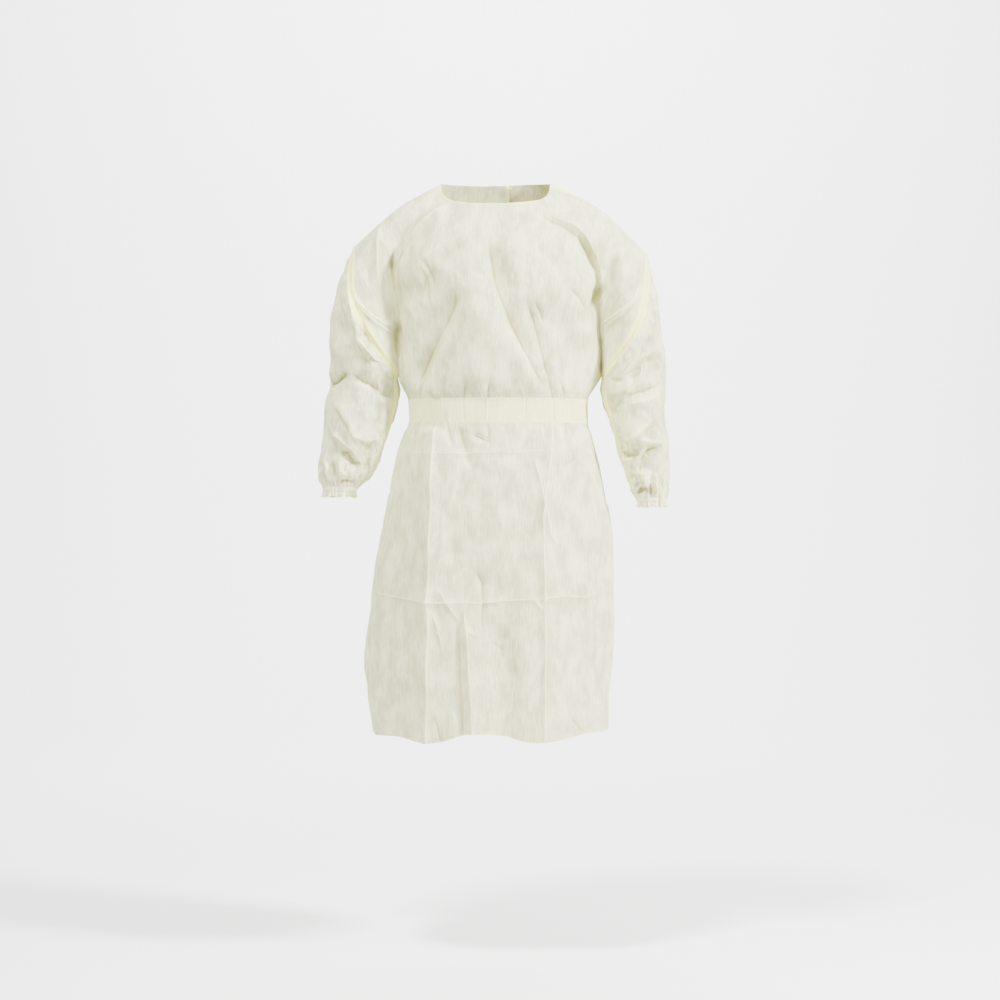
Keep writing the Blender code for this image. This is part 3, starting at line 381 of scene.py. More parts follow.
# The back is hidden, so these are folds of the same kind
BODY_BACK = {
    "right blade drape": fold(
        4, 18, 10, 0.5, (-98, -48), (-132, -74), (-162, -118), (-180, -180), (-184, -240),
    ),
    "right blade shadow": fold(-4.5, 9, 10, 0.6, (-193, -150), (-198, -260)),
    "left blade drape": fold(
        3.5, 10, 18, 0.5, (104, -52), (140, -84), (168, -132), (186, -200), (190, -262),
    ),
    "left blade shadow": fold(-4, 10, 9, 0.6, (203, -140), (206, -252)),
    "right back trough": fold(
        -4.5, 24, 12, 0.4, (-52, -120), (-70, -210), (-104, -330), (-128, -440),
    ),
    "left back trough": fold(-4.2, 12, 24, 0.4, (86, -140), (98, -230), (118, -330), (134, -440)),
    "right back swell": fold(2.6, 30, 26, 0, (-118, -190), (-150, -420)),
    "left back swell": fold(2.6, 26, 30, 0, (52, -170), (70, -420)),
    "right back drag": fold(-2.2, 14, 16, 0.3, (-30, -90), (-90, -150)),
    "left back drag": fold(2.2, 14, 12, 0.4, (60, -100), (150, -190)),
    "back gather 1": fold(-3, 8, 10, 0.6, (-142, -372), (-146, -470)),
    "back gather 2": fold(-2.6, 7, 10, 0.6, (-104, -390), (-100, -470)),
    "back gather 3": fold(2.4, 8, 8, 0.6, (-76, -380), (-72, -470)),
    "back gather 4": fold(-2.6, 8, 9, 0.6, (74, -384), (78, -470)),
    "back gather 5": fold(2.4, 8, 8, 0.6, (108, -370), (104, -470)),
    "back gather 6": fold(-2.8, 9, 9, 0.6, (142, -380), (146, -470)),
    "back gather 7": fold(-3.4, 12, 14, 0.4, (-120, -450), (-128, -545)),
    "back gather 8": fold(-3.2, 12, 14, 0.4, (-78, -450), (-88, -560)),
    "back gather 9": fold(2.2, 10, 10, 0.5, (-50, -450), (-52, -530)),
    "back gather 10": fold(-3.2, 14, 12, 0.4, (86, -450), (94, -556)),
    "back gather 11": fold(2.4, 10, 10, 0.5, (124, -450), (132, -540)),
    "back gather 12": fold(-2.8, 12, 12, 0.4, (152, -450), (164, -548)),
    "right back press ridge": fold(
        3.6, 10, 26, 0.85, (-100, -460), (-112, -640), (-120, -840), (-126, -1190),
    ),
    "left back press ridge": fold(
        3.4, 26, 10, 0.85, (114, -460), (118, -640), (124, -860), (126, -1190),
    ),
    "cross back press crease": fold(
        2, 5, 5, 0.9, (-235, -846), (-150, -851), (-20, -853), (90, -848), (230, -842),
    ),
    "back slant 1": fold(1.8, 6, 6, 0.8, (-118, -842), (-90, -905)),
    "back slant 2": fold(-1.8, 6, 7, 0.7, (120, -852), (90, -930)),
    "back slant 3": fold(1.6, 5, 6, 0.8, (52, -700), (76, -790)),
    "back slant 4": fold(-1.6, 6, 6, 0.7, (-150, -1040), (-122, -1150)),
    "back skirt fold": fold(3, 12, 10, 0.7, (52, -900), (60, -1190)),
    "back skirt hollow 1": fold(-2.6, 26, 26, 0, (-70, -800), (-78, -1190)),
    "back skirt hollow 2": fold(-2.4, 24, 24, 0, (90, -930), (94, -1190)),
    "back skirt swell 1": fold(2.4, 26, 26, 0, (-176, -640), (-190, -1190)),
    "back skirt swell 2": fold(2.4, 26, 26, 0, (176, -660), (186, -1190)),
}
SLEEVE_BACK = {
    "right back elbow trough": fold(
        -4.5, 10, 12, 0.5, (-350, -392), (-318, -412), (-280, -418), (-236, -408),
    ),
    "right back elbow ridge": fold(4, 14, 12, 0.5, (-346, -372), (-290, -388), (-230, -378)),
    "right back low trough": fold(-3.6, 10, 14, 0.5, (-344, -452), (-300, -462), (-262, -446)),
    "right back long ridge": fold(3.2, 12, 16, 0.4, (-240, -470), (-300, -520), (-340, -560)),
    "right back arm fold": fold(-3.6, 14, 18, 0.3, (-300, -190), (-290, -270), (-246, -348)),
    "right back cuff fold 1": fold(3, 7, 7, 0.6, (-334, -556), (-328, -618)),
    "right back cuff fold 2": fold(-3, 7, 7, 0.6, (-314, -552), (-314, -618)),
    "right back cuff fold 3": fold(2.6, 7, 7, 0.6, (-292, -560), (-298, -618)),
    "left back elbow trough": fold(
        -4.5, 12, 10, 0.5, (352, -384), (322, -402), (286, -410), (244, -398),
    ),
    "left back elbow ridge": fold(3.8, 12, 14, 0.5, (350, -362), (300, -378), (240, -366)),
    "left back low trough": fold(-3.6, 14, 10, 0.5, (348, -446), (306, -458), (270, -442)),
    "left back long ridge": fold(3.2, 16, 12, 0.4, (252, -468), (304, -524), (340, -572)),
    "left back arm fold": fold(-3.6, 18, 14, 0.3, (318, -200), (304, -280), (262, -352)),
    "left back cuff fold 1": fold(3, 7, 7, 0.6, (330, -572), (328, -638)),
    "left back cuff fold 2": fold(-3, 7, 7, 0.6, (314, -570), (314, -638)),
    "left back cuff fold 3": fold(2.6, 7, 7, 0.6, (298, -572), (300, -638)),
}

BODY_FOLDS = {FRONT: BODY_FRONT, BACK: BODY_BACK}
SLEEVE_FOLDS = {FRONT: SLEEVE_FRONT, BACK: SLEEVE_BACK}

# Small random wrinkles: the size of a facet on each axis, how far it stands out, how sharp its
# crests are, and its seed. Their lattice is warped by this share of their size.
WARP = 0.35
Wrinkle = namedtuple("Wrinkle", "size height crisp seed")
BODY_WRINKLES = [
    Wrinkle((0.060, 0.060, 0.170), 0.0026, 0.0, 11),
    Wrinkle((0.030, 0.030, 0.075), 0.0012, 0.6, 12),
    Wrinkle((0.014, 0.014, 0.024), 0.0004, 0.8, 13),
]
SLEEVE_WRINKLES = [
    Wrinkle((0.045, 0.045, 0.060), 0.0013, 0.8, 25),
    Wrinkle((0.026, 0.026, 0.036), 0.0008, 0.8, 22),
    Wrinkle((0.012, 0.012, 0.016), 0.0004, 0.8, 23),
]
FIRST_WRINKLES = [
    Wrinkle((0.050, 0.050, 0.075), 0.0026, 0.3, 21),
    Wrinkle((0.022, 0.022, 0.030), 0.0010, 0.3, 24),
]
BELT_WRINKLE = Wrinkle((0.020, 0.020, 0.045), 0.0003, 0.3, 31)
END_WRINKLE = Wrinkle((0.016, 0.016, 0.040), 0.0006, 0.4, 40)

# Elastic cuffs: how many gathers go round, their height, that of the frill below the elastic,
# how wavy its edge is, how far the gathers run up the sleeve, and how far the elastic pulls in
GATHERS = 19
GATHER_HEIGHT = 0.0014
FRILL_HEIGHT = 0.0018
RUFFLE = 0.0013
GATHER_REACH = 0.050
PINCH = 0.0012

# An elastic cuff: its middle, and the levels of its seam and of its lower edge
Cuff = namedtuple("Cuff", "x y seam_z end_z")
RIGHT_CUFF = Cuff(-0.3170, -0.0185, -0.6130, -0.6335)
LEFT_CUFF = Cuff(0.3165, -0.0195, -0.6355, -0.6540)

# Creases across the front of the belt
BELT_FRONT = {
    "belt crease c": fold(-0.3, 3, 4, 0.6, (-107.8, -405), (-106, -515)),
    "belt crease e": fold(0.2, 3, 5, 0.5, (-96, -405), (-97, -515)),
    "belt crease g": fold(-0.2, 3, 3.5, 0.6, (-68, -405), (-65, -515)),
    "belt crease h": fold(0.3, 3, 3.5, 0.7, (-18, -405), (-20, -515)),
    "belt crease j": fold(-0.2, 3, 4, 0.5, (62, -405), (60, -515)),
    "belt crease l": fold(-0.3, 3, 4, 0.6, (119, -405), (118, -515)),
    "belt crease m": fold(0.2, 3.5, 3.5, 0.6, (147, -405), (148, -515)),
    "belt crease b": fold(-0.2, 4, 4, 0.4, (-154, -405), (-155, -515)),
}
BELT_BACK = {
    "belt back crease 1": fold(-0.3, 4, 3.5, 0.6, (-120, -405), (-118, -515)),
    "belt back crease 2": fold(0.2, 3.5, 3.5, 0.6, (-80, -405), (-82, -515)),
    "belt back crease 3": fold(-0.2, 3.5, 4.5, 0.5, (90, -405), (92, -515)),
    "belt back crease 4": fold(0.2, 3.5, 3.5, 0.6, (138, -405), (136, -515)),
}

BELT_FOLDS = {FRONT: BELT_FRONT, BACK: BELT_BACK}

# A piece of the gown's cloth: its node and what it is, how often it is made finer, and its cut
Piece = namedtuple("Piece", "node part finer flat area held")


def smoothstep(share):
    share = np.clip(share, 0.0, 1.0)
    return share * share * (3.0 - 2.0 * share)


def random_cells(cells, seed):
    """A repeatable random number from 0 to 1 for each cell of a lattice."""
    mixed = cells @ np.array([374761393, 668265263, 1103515245]) + seed * 974634777
    mixed = (mixed ^ (mixed >> 13)) * 1274126177
    return ((mixed ^ (mixed >> 16)) & 0xFFFFFF) / 0xFFFFFF


def cloudy(points, size, seed):
    """Smooth random heights from -1 to 1, with swells of about this size along each axis."""
    at = points / np.asarray(size)
    cell = np.floor(at).astype(np.int64)
    share = smoothstep(at - cell)
    total = np.zeros(len(points))
    for corner in np.ndindex(2, 2, 2):
        weight = np.prod(np.where(corner, share, 1.0 - share), axis=1)
        total += weight * random_cells(cell + np.array(corner), seed)
    return 2.0 * total - 1.0


def wrinkle_shift(points, wrinkle):
    """Random wrinkles, with sharp crests where crisp is near 1."""
    warp = cloudy(points[:, [1, 2, 0]], wrinkle.size, wrinkle.seed + 50)
    warped = points + WARP * np.array(wrinkle.size) * warp[:, None]
    soft = cloudy(warped, wrinkle.size, wrinkle.seed)
    crest = 1.0 - 3.0 * np.abs(soft)
    return wrinkle.height * (soft + (crest - soft) * wrinkle.crisp)


def as_seen(points, face):
    """Where points appear from in front or behind, on the plane through the shoulders."""
    nearer = CAMERA_DISTANCE / (CAMERA_DISTANCE - face * points[:, 1])
    x = CAMERA_X + (points[:, 0] - CAMERA_X) * nearer
    z = CAMERA_Z + (points[:, 2] - CAMERA_Z) * nearer
    return np.stack([x, z], axis=1)


def beside_crease(places, face, crease):
    """How far each place is from a fold, if it is to its right, and how strong the fold is there."""
    path = np.array(crease.path)
    nearest = np.full(len(places), np.inf)
    along, to_right = np.zeros(len(places)), np.zeros(len(places), bool)
    before = 0.0
    for start, end in zip(path[:-1], path[1:]):
        length = np.linalg.norm(end - start)
        run = (end - start) / length
        offset = places - start
        reach = np.clip(offset @ run, 0.0, length)
        distance = np.linalg.norm(offset - reach[:, None] * run, axis=1)
        closer = distance < nearest
        nearest[closer] = distance[closer]
        along[closer] = before + reach[closer]
        turn = (offset[:, 0] * run[1] - offset[:, 1] * run[0]) * -face
        to_right[closer] = turn[closer] > 0
        before += length
    fade = min(FADE_SHARE * before, FADE_MOST)
    taper = smoothstep(along / fade) * smoothstep((before - along) / fade)
    own_start = 90.0 * path[0, 0]
    uneven = 1.0 + VARIES * np.sin(along / VARIES_LENGTH + own_start)
    return nearest, to_right, uneven * taper


def crease_shift(places, face, crease):
    """How far one fold moves each place out of the cloth."""
    nearest, to_right, strength = beside_crease(places, face, crease)
    width = np.where(to_right, crease.right_hand, crease.left_hand)
    soft = np.exp(-((nearest / width) ** 2))
    sharp = np.exp(-nearest / (0.6 * width))
    return crease.height * strength * (soft + (sharp - soft) * crease.crisp)


def gather_shift(points):
    """The small uneven waves of the elastic cuffs, which fade out up the sleeves."""
    shift = np.zeros(len(points))
    for cuff, on_side in ((RIGHT_CUFF, points[:, 0] < -0.2), (LEFT_CUFF, points[:, 0] > 0.2)):
        near = on_side & (points[:, 2] < cuff.seam_z + GATHER_REACH)
        x, y, z = points[near].T
        turn = np.arctan2(y - cuff.y, x - cuff.x)
        slip = 2.2 * np.sin(3 * turn) + 1.6 * np.sin(7 * turn + 1) + 25.0 * (z - cuff.seam_z)
        wave = np.cos(GATHERS * turn + slip)
        uneven = 0.75 + 0.35 * np.sin(5 * turn + 2) + 0.25 * np.sin(9 * turn)
        up = (z - cuff.seam_z) / GATHER_REACH
        down = (cuff.seam_z - z) / (cuff.seam_z - cuff.end_z)
        strength = GATHER_HEIGHT * smoothstep(1.0 - up)
        frill = FRILL_HEIGHT * smoothstep((down - 0.55) / 0.45)
        pinch = -PINCH * np.exp(-(((down - 0.45) / 0.16) ** 2))
        shift[near] = (strength + frill) * uneven * wave + frill * 0.5 + pinch
    return shift


def numbers(mesh_part, name, width):
    """One property of all of a mesh's points, edges or faces, as rows of numbers."""
    values = np.empty(len(mesh_part) * width)
    mesh_part.foreach_get(name, values)
    return values.reshape(-1, width)


def points_of(piece):
    return numbers(piece.data.vertices, "co", 3)


def normals_of(piece):
    return numbers(piece.data.vertex_normals, "vector", 3)


def set_points(piece, points):
    piece.data.vertices.foreach_set("co", points.ravel())
    piece.data.update()


def move_points(piece, shift):
    """Moves each point of a piece this far out of the cloth."""
    set_points(piece, points_of(piece) + normals_of(piece) * shift[:, None])


def only(piece):
    """Deselects everything, then selects one piece and makes it active."""
    for chosen in list(bpy.context.selected_objects):
        chosen.select_set(False)
    piece.select_set(True)
    bpy.context.view_layer.objects.active = piece


def add_modifier(piece, kind, **settings):
    """Adds a modifier with these settings and applies it."""
    only(piece)
    modifier = piece.modifiers.new(kind.title(), kind)
    for name, value in settings.items():
        setattr(modifier, name, value)
    bpy.ops.object.modifier_apply(modifier=modifier.name)


def hold_corners(piece):
    """Keeps the sharp turns of a sheet's outline in place when it is made finer."""
    shape = bmesh.new()
    shape.from_mesh(piece.data)
    held = shape.verts.layers.float.new("crease_vert")
    for point in shape.verts:
        rim = [edge for edge in point.link_edges if edge.is_boundary]
        if len(rim) == 2:
            one, other = (edge.other_vert(point).co - point.co for edge in rim)
            point[held] = float(one.angle(other) < CORNER_ANGLE)
    shape.to_mesh(piece.data)
    shape.free()


def make_finer(piece, levels):
    add_modifier(
        piece,
        "SUBSURF",
        levels=levels,
        render_levels=levels,
        boundary_smooth="PRESERVE_CORNERS",
        uv_smooth="PRESERVE_BOUNDARIES",
    )


def copy_of_node(node_name, name):
    """A new piece with a merged copy of a node's mesh."""
    piece = bpy.data.objects.new(name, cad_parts[node_name].data.copy())
    bpy.context.scene.collection.objects.link(piece)
    piece.data.materials.clear()
    only(piece)
    bpy.ops.object.mode_set(mode="EDIT")
    bpy.ops.mesh.select_all(action="SELECT")
    bpy.ops.mesh.remove_doubles(threshold=0.00001)
    bpy.ops.mesh.select_all(action="DESELECT")
    bpy.ops.object.mode_set(mode="OBJECT")
    return piece


def wall_faces(mesh):
    """Which faces lie on the narrow edge of a wall: those with a side as short as it is thick."""
    points = numbers(mesh.vertices, "co", 3)
    chosen = np.zeros(len(mesh.polygons), bool)
    for k, face in enumerate(mesh.polygons):
        corners = points[list(face.vertices)]
        sides = np.linalg.norm(corners - np.roll(corners, 1, axis=0), axis=1)
        chosen[k] = sides.min() < WALL_EDGE
    return chosen.tolist()


def outwardness(piece, inside):
    """Above 0 if the faces look away from the line inside, weighted by area."""
    total = 0.0
    for face in piece.data.polygons:
        middle = np.array(face.center)
        total += face.area * np.dot(face.normal, middle - inside(middle))
    return total


def outer_skin(node_name, name, inside):
    """The outer side of a node's wall, as an open sheet of four-sided faces."""
    piece = copy_of_node(node_name, name)
    piece.data.polygons.foreach_set("select", wall_faces(piece.data))
    bpy.ops.object.mode_set(mode="EDIT")
    bpy.ops.mesh.delete(type="ONLY_FACE")
    bpy.ops.mesh.select_all(action="SELECT")
    bpy.ops.mesh.delete_loose(use_faces=False)
    bpy.ops.mesh.select_all(action="SELECT")
    bpy.ops.mesh.separate(type="LOOSE")
    bpy.ops.object.mode_set(mode="OBJECT")
    sides = list(bpy.context.selected_objects)
    outer = max(sides, key=lambda side: outwardness(side, inside))
    for side in sides:
        if side is not outer:
            bpy.data.objects.remove(side)
    outer.name = name
    only(outer)
    bpy.ops.object.mode_set(mode="EDIT")
    bpy.ops.mesh.select_all(action="SELECT")
    bpy.ops.mesh.tris_convert_to_quads(
        face_threshold=3.14, shape_threshold=3.14, topology_influence=1.5
    )
    bpy.ops.object.mode_set(mode="OBJECT")
    return outer


def inside_body(point):
    """The gown's middle line, at the point's level but no higher than the armpits."""
    return np.array([0.0, 0.0, min(point[2], ARMPIT_Z)])


def inside_wearer(point):
    """The gown's middle line at the point's own level."""
    return np.array([0.0, 0.0, point[2]])


def inside_arm(point):
    """The middle of the sleeve that a point is on."""
    side = 1.0 if point[0] > 0 else -1.0
    down = np.clip((ARM_TOP - point[2]) / ARM_HEIGHT, 0.0, 1.0)
    return np.array([side * (SHOULDER_X + WRIST_OUT * down), -WRIST_AHEAD * down, point[2]])


def mark_tube_seam(piece):
    """Marks the line of edges under the arm, where a sleeve or a cuff is cut to lie flat."""
    shape = bmesh.new()
    shape.from_mesh(piece.data)
    low = min(v.co.z for v in shape.verts) + RIM_UNEVEN
    rim = [v for v in shape.verts if v.is_boundary and v.co.z < low]
    at = min(rim, key=lambda v: abs(v.co.x))
    edge = next(e for e in at.link_edges if not e.is_boundary)
    while edge is not None:
        edge.seam = True
        at = edge.other_vert(at)
        beside = set(edge.link_faces)
        onward = [e for e in at.link_edges if not beside & set(e.link_faces)]
        edge = onward[0] if onward and not at.is_boundary else None
    shape.to_mesh(piece.data)
    shape.free()


def new_pattern(mesh):
    """Leaves a mesh one UV map, named flat. Returns the point that each of its corners is on."""
    while mesh.uv_layers:
        mesh.uv_layers.remove(mesh.uv_layers[0])
    mesh.uv_layers.new(name="flat")
    return numbers(mesh.loops, "vertex_index", 1).astype(int)[:, 0]


def flat_area(corners):
    """The area of one flat face, from its corners in turn."""
    x, y = corners[:, 0], corners[:, 1]
    return 0.5 * abs(np.sum(x * np.roll(y, -1) - y * np.roll(x, -1)))


def lay_flat(piece, grain="upright"):
    """Gives a piece a pattern in metres that follows the cloth, whose second axis is its grain."""
    only(piece)
    mesh = piece.data
    corners = new_pattern(mesh)
    bpy.ops.object.mode_set(mode="EDIT")
    bpy.ops.mesh.select_all(action="SELECT")
    bpy.ops.uv.unwrap(method="ANGLE_BASED", margin=0.0)
    bpy.ops.object.mode_set(mode="OBJECT")
    flat = numbers(mesh.uv_layers["flat"].uv, "vector", 2)
    real = sum(face.area for face in mesh.polygons)
    drawn = sum(flat_area(flat[list(face.loop_indices)]) for face in mesh.polygons)
    flat = (flat - flat.mean(axis=0)) * np.sqrt(real / drawn)
    height = points_of(piece)[corners, 2]
    rise = np.linalg.lstsq(flat, height - height.mean(), rcond=None)[0]
    up = rise / np.linalg.norm(rise)
    level = np.array([up[1], -up[0]])
    first, second = (level, up) if grain == "upright" else (up, level)
    flat = np.stack([flat @ first, flat @ second], axis=1)
    mesh.uv_layers["flat"].uv.foreach_set("vector", flat.ravel())


def line_points(piece, chosen):
    """The points of the edges that are chosen, such as a sheet's open edges."""
    shape = bmesh.new()
    shape.from_mesh(piece.data)
    found = {v: v.co.copy() for e in shape.edges if chosen(e) for v in e.verts}
    shape.free()
    return list(found.values())


def tree_of(points):
    tree = KDTree(max(len(points), 1))
    for k, point in enumerate(points):
        tree.insert(point, k)
    tree.balance()
    return tree


def distances(points, tree):
    """How far each point is from the nearest one in the tree, or 1 metre if it has none."""
    found = [tree.find(point)[2] for point in points]
    return np.array([1.0 if far is None else far for far in found])


def add_attribute(piece, name, values):
    attribute = piece.data.attributes.new(name, "FLOAT", "POINT")
    attribute.data.foreach_set("value", values)


def measure_edges(sheets):
    """Stores how far every point is from its nearest seam and from its nearest free edge."""
    rims = {name: line_points(piece, lambda e: e.is_boundary) for name, piece in sheets.items()}
    for name, piece in sheets.items():
        others = tree_of([p for other in rims if other != name for p in rims[other]])
        sewn = distances(rims[name], others) < SEWN_WITHIN
        own = line_points(piece, lambda e: e.seam)
        seams = tree_of([p for p, is_sewn in zip(rims[name], sewn) if is_sewn] + own)
        edges = tree_of([p for p, is_sewn in zip(rims[name], sewn) if not is_sewn])
        add_attribute(piece, "seam", distances(points_of(piece), seams))
        add_attribute(piece, "edge", distances(points_of(piece), edges))


def read_attribute(piece, name):
    return numbers(piece.data.attributes[name].data, "value", 1)[:, 0]


def hide_allowance(piece, level):
    """Leaves out the doubled edge of the seam below a level, where the cloth is gathered."""
    seam = read_attribute(piece, "seam")
    below = points_of(piece)[:, 2] < level
    seam[below] = np.maximum(seam[below], SEAM_ALLOWANCE)
    piece.data.attributes["seam"].data.foreach_set("value", seam)


def seen_from(piece, face):
    """Where a piece's points appear from in front or behind, and how much each is turned there."""
    facing = smoothstep(normals_of(piece)[:, 1] * face / FACING)
    return as_seen(points_of(piece), face), facing


def folds_shift(piece, folds):
    """How far the folds move each point, on the side that each fold is seen from."""
    shift = np.zeros(len(piece.data.vertices))
    for face, creases in folds.items():
        places, facing = seen_from(piece, face)
        for crease in creases.values():
            shift += FOLD_DEPTH * facing * crease_shift(places, face, crease)
    return shift


def mark_presses(piece, folds, full_height=PRESS_HEIGHT):
    """Stores the way to the nearest crisp fold, and how strongly it stands out or lies in.
    The material paints a highlight along it where it stands out and shade where it lies in.
    """
    count = len(piece.data.vertices)
    way, press = np.full(count, 1.0), np.zeros(count)
    for face, creases in folds.items():
        places, facing = seen_from(piece, face)
        for crease in creases.values():
            if crease.crisp < CRISP_ENOUGH:
                continue
            nearest, to_right, strength = beside_crease(places, face, crease)
            closer = (nearest < np.abs(way)) & (facing > 0.0) & (strength > 0.02)
            way[closer] = np.where(to_right, nearest, -nearest)[closer]
            full = crease.crisp * np.clip(crease.height / full_height, -1.0, 1.0)
            press[closer] = (full * facing * strength)[closer]
    add_attribute(piece, "way", np.clip(way, -PRESS_REACH, PRESS_REACH))
    add_attribute(piece, "press", press * smoothstep(2.0 - 2.0 * np.abs(way) / PRESS_REACH))


def crease_cloth(piece, folds, wrinkles):
    """Works the listed folds and the small wrinkles into a piece of the gown."""
    points = points_of(piece)
    free = smoothstep(read_attribute(piece, "seam") / SEAM_CALM)
    small = sum(wrinkle_shift(points, wrinkle) for wrinkle in wrinkles)
    shift = free * (folds_shift(piece, folds) + small) + gather_shift(points)
    from_belt = np.maximum(points[:, 2] - BELT_TOP, BELT_BOTTOM - points[:, 2])
    calm = smoothstep(from_belt / BELT_CALM)
    calm[np.abs(points[:, 0]) > ARMS_BEYOND] = 1.0
    kept = HOLLOWS_KEPT + (1.0 - HOLLOWS_KEPT) * calm
    move_points(piece, np.where(shift > 0, shift * calm, shift * kept))


def mark_valleys(piece):
    """Stores how sharply each point lies in a valley, up to 1, or on a ridge, down to -1.
    The material paints shade into valleys and a highlight onto ridges from it.
    """
    points, normals = points_of(piece), normals_of(piece)
    ends = numbers(piece.data.edges, "vertices", 2).astype(int)
    one, other = np.concatenate([ends, ends[:, ::-1]]).T
    count = np.maximum(np.bincount(one, minlength=len(points)), 1)
    step = points[other] - points[one]
    apart = np.maximum(np.sum(step * step, axis=1), 1e-12)
    bend = 2.0 * np.sum(step * normals[one], axis=1) / apart
    valley = np.bincount(one, bend, len(points)) / count
    for _ in range(2):
        valley = 0.5 * valley + 0.5 * np.bincount(one, valley[other], len(points)) / count
    add_attribute(piece, "valley", np.clip(valley / VALLEY_CURVE, -1.0, 1.0))


def crumple(piece):
    """Simulates a sleeve, so that it buckles as if it were cut too large, with its seams held."""
    before = points_of(piece)
    group = piece.vertex_groups.new(name="held")
    for k, distance in enumerate(read_attribute(piece, "seam")):
        group.add([k], float(smoothstep(1.0 - distance / HELD_REACH)), "REPLACE")
    only(piece)
    modifier = piece.modifiers.new("Cloth", "CLOTH")
    modifier.collision_settings.use_collision = False
    modifier.point_cache.frame_start = 1
    modifier.point_cache.frame_end = SLEEVE_FRAMES
    cloth = modifier.settings
    cloth.effector_weights.gravity = 0.0
    cloth.quality = 6
    cloth.mass = 0.02
    cloth.tension_stiffness = 30.0
    cloth.compression_stiffness = 30.0
    cloth.shear_stiffness = 15.0
    cloth.bending_stiffness = 0.3
    cloth.air_damping = 4.0
    cloth.shrink_min = -SLEEVE_SPARE
    cloth.vertex_group_mass = "held"
    for frame_number in range(1, SLEEVE_FRAMES + 1):
        bpy.context.scene.frame_set(frame_number)
    bpy.ops.object.modifier_apply(modifier=modifier.name)
    bpy.context.scene.frame_set(1)
    piece.vertex_groups.clear()
    moved = points_of(piece) - before
    length = np.maximum(np.linalg.norm(moved, axis=1), 1e-9)
    moved *= (SLEEVE_REACH * np.tanh(length / SLEEVE_REACH) / length)[:, None]
    set_points(piece, before + moved)


def ruffle(piece, cuff):
    """Makes the lower edge of an elastic cuff wavy."""
    places = points_of(piece)
    turn = np.arctan2(places[:, 1] - cuff.y, places[:, 0] - cuff.x)
    down = smoothstep((cuff.seam_z - places[:, 2]) / (cuff.seam_z - cuff.end_z))
    wave = np.sin(6 * turn + 1.3 * np.sin(2 * turn)) + 0.6 * np.sin(13 * turn + 2)
    places[:, 2] += RUFFLE * wave * down
    set_points(piece, places)


def cut_strip(node_name, name, inside, levels, grain="upright"):
    """A strip of cloth on its own: the outer side of a node, laid flat, finer and measured."""
    piece = outer_skin(node_name, name, inside)
    lay_flat(piece, grain)
    make_finer(piece, levels)
    measure_edges({name: piece})
    return piece


def thicken(piece, thickness, keep=1.0):
    """Gives a sheet its thickness on the inside. Where keep is under 1, the inside is coarser."""
    piece.vertex_groups.new(name="inside")
    add_modifier(
        piece, "SOLIDIFY", thickness=thickness, offset=-1.0, shell_vertex_group="inside"
    )
    if keep < 1.0:
        add_modifier(piece, "DECIMATE", ratio=keep, vertex_group="inside")
    piece.vertex_groups.clear()
    bpy.ops.object.shade_smooth_by_angle(angle=SMOOTH_ANGLE)


def place(piece, slot, finish, *nodes):
    """Finishes a piece: its material, its body and the nodes that it stands for. Its slot is not
    used.
    """
    piece.data.materials.clear()
    piece.data.materials.append(finish)
    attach(piece, "root")
    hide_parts(*nodes)


class Field:
    """A shader value. Adding, taking away or multiplying it makes the nodes for that."""

    def __init__(self, finish, socket):
        self.finish, self.socket = finish, socket

    def math(self, operation, *values):
        return self.finish.node(
            "ShaderNodeMath", {"operation": operation}, dict(enumerate(values))
        )

    def __add__(self, other):
        return self.math("ADD", self, other)

    __radd__ = __add__

    def __sub__(self, other):
        return self.math("SUBTRACT", self, other)

    def __rsub__(self, other):
        return self.math("SUBTRACT", other, self)

    def __mul__(self, other):
        return self.math("MULTIPLY", self, other)

    __rmul__ = __mul__

    def size(self):
        return self.math("ABSOLUTE", self)

    def wave(self, length):
        """A wave from -1 to 1, this long in metres."""
        return self.math("SINE", self * (2 * np.pi / length))

    def between(self, low, high):
        """0 below low, 1 above high and smooth between them."""
        return self.finish.node(
            "ShaderNodeMapRange",
            {"interpolation_type": "SMOOTHSTEP"},
            {"Value": self, "From Min": low, "From Max": high},
        )


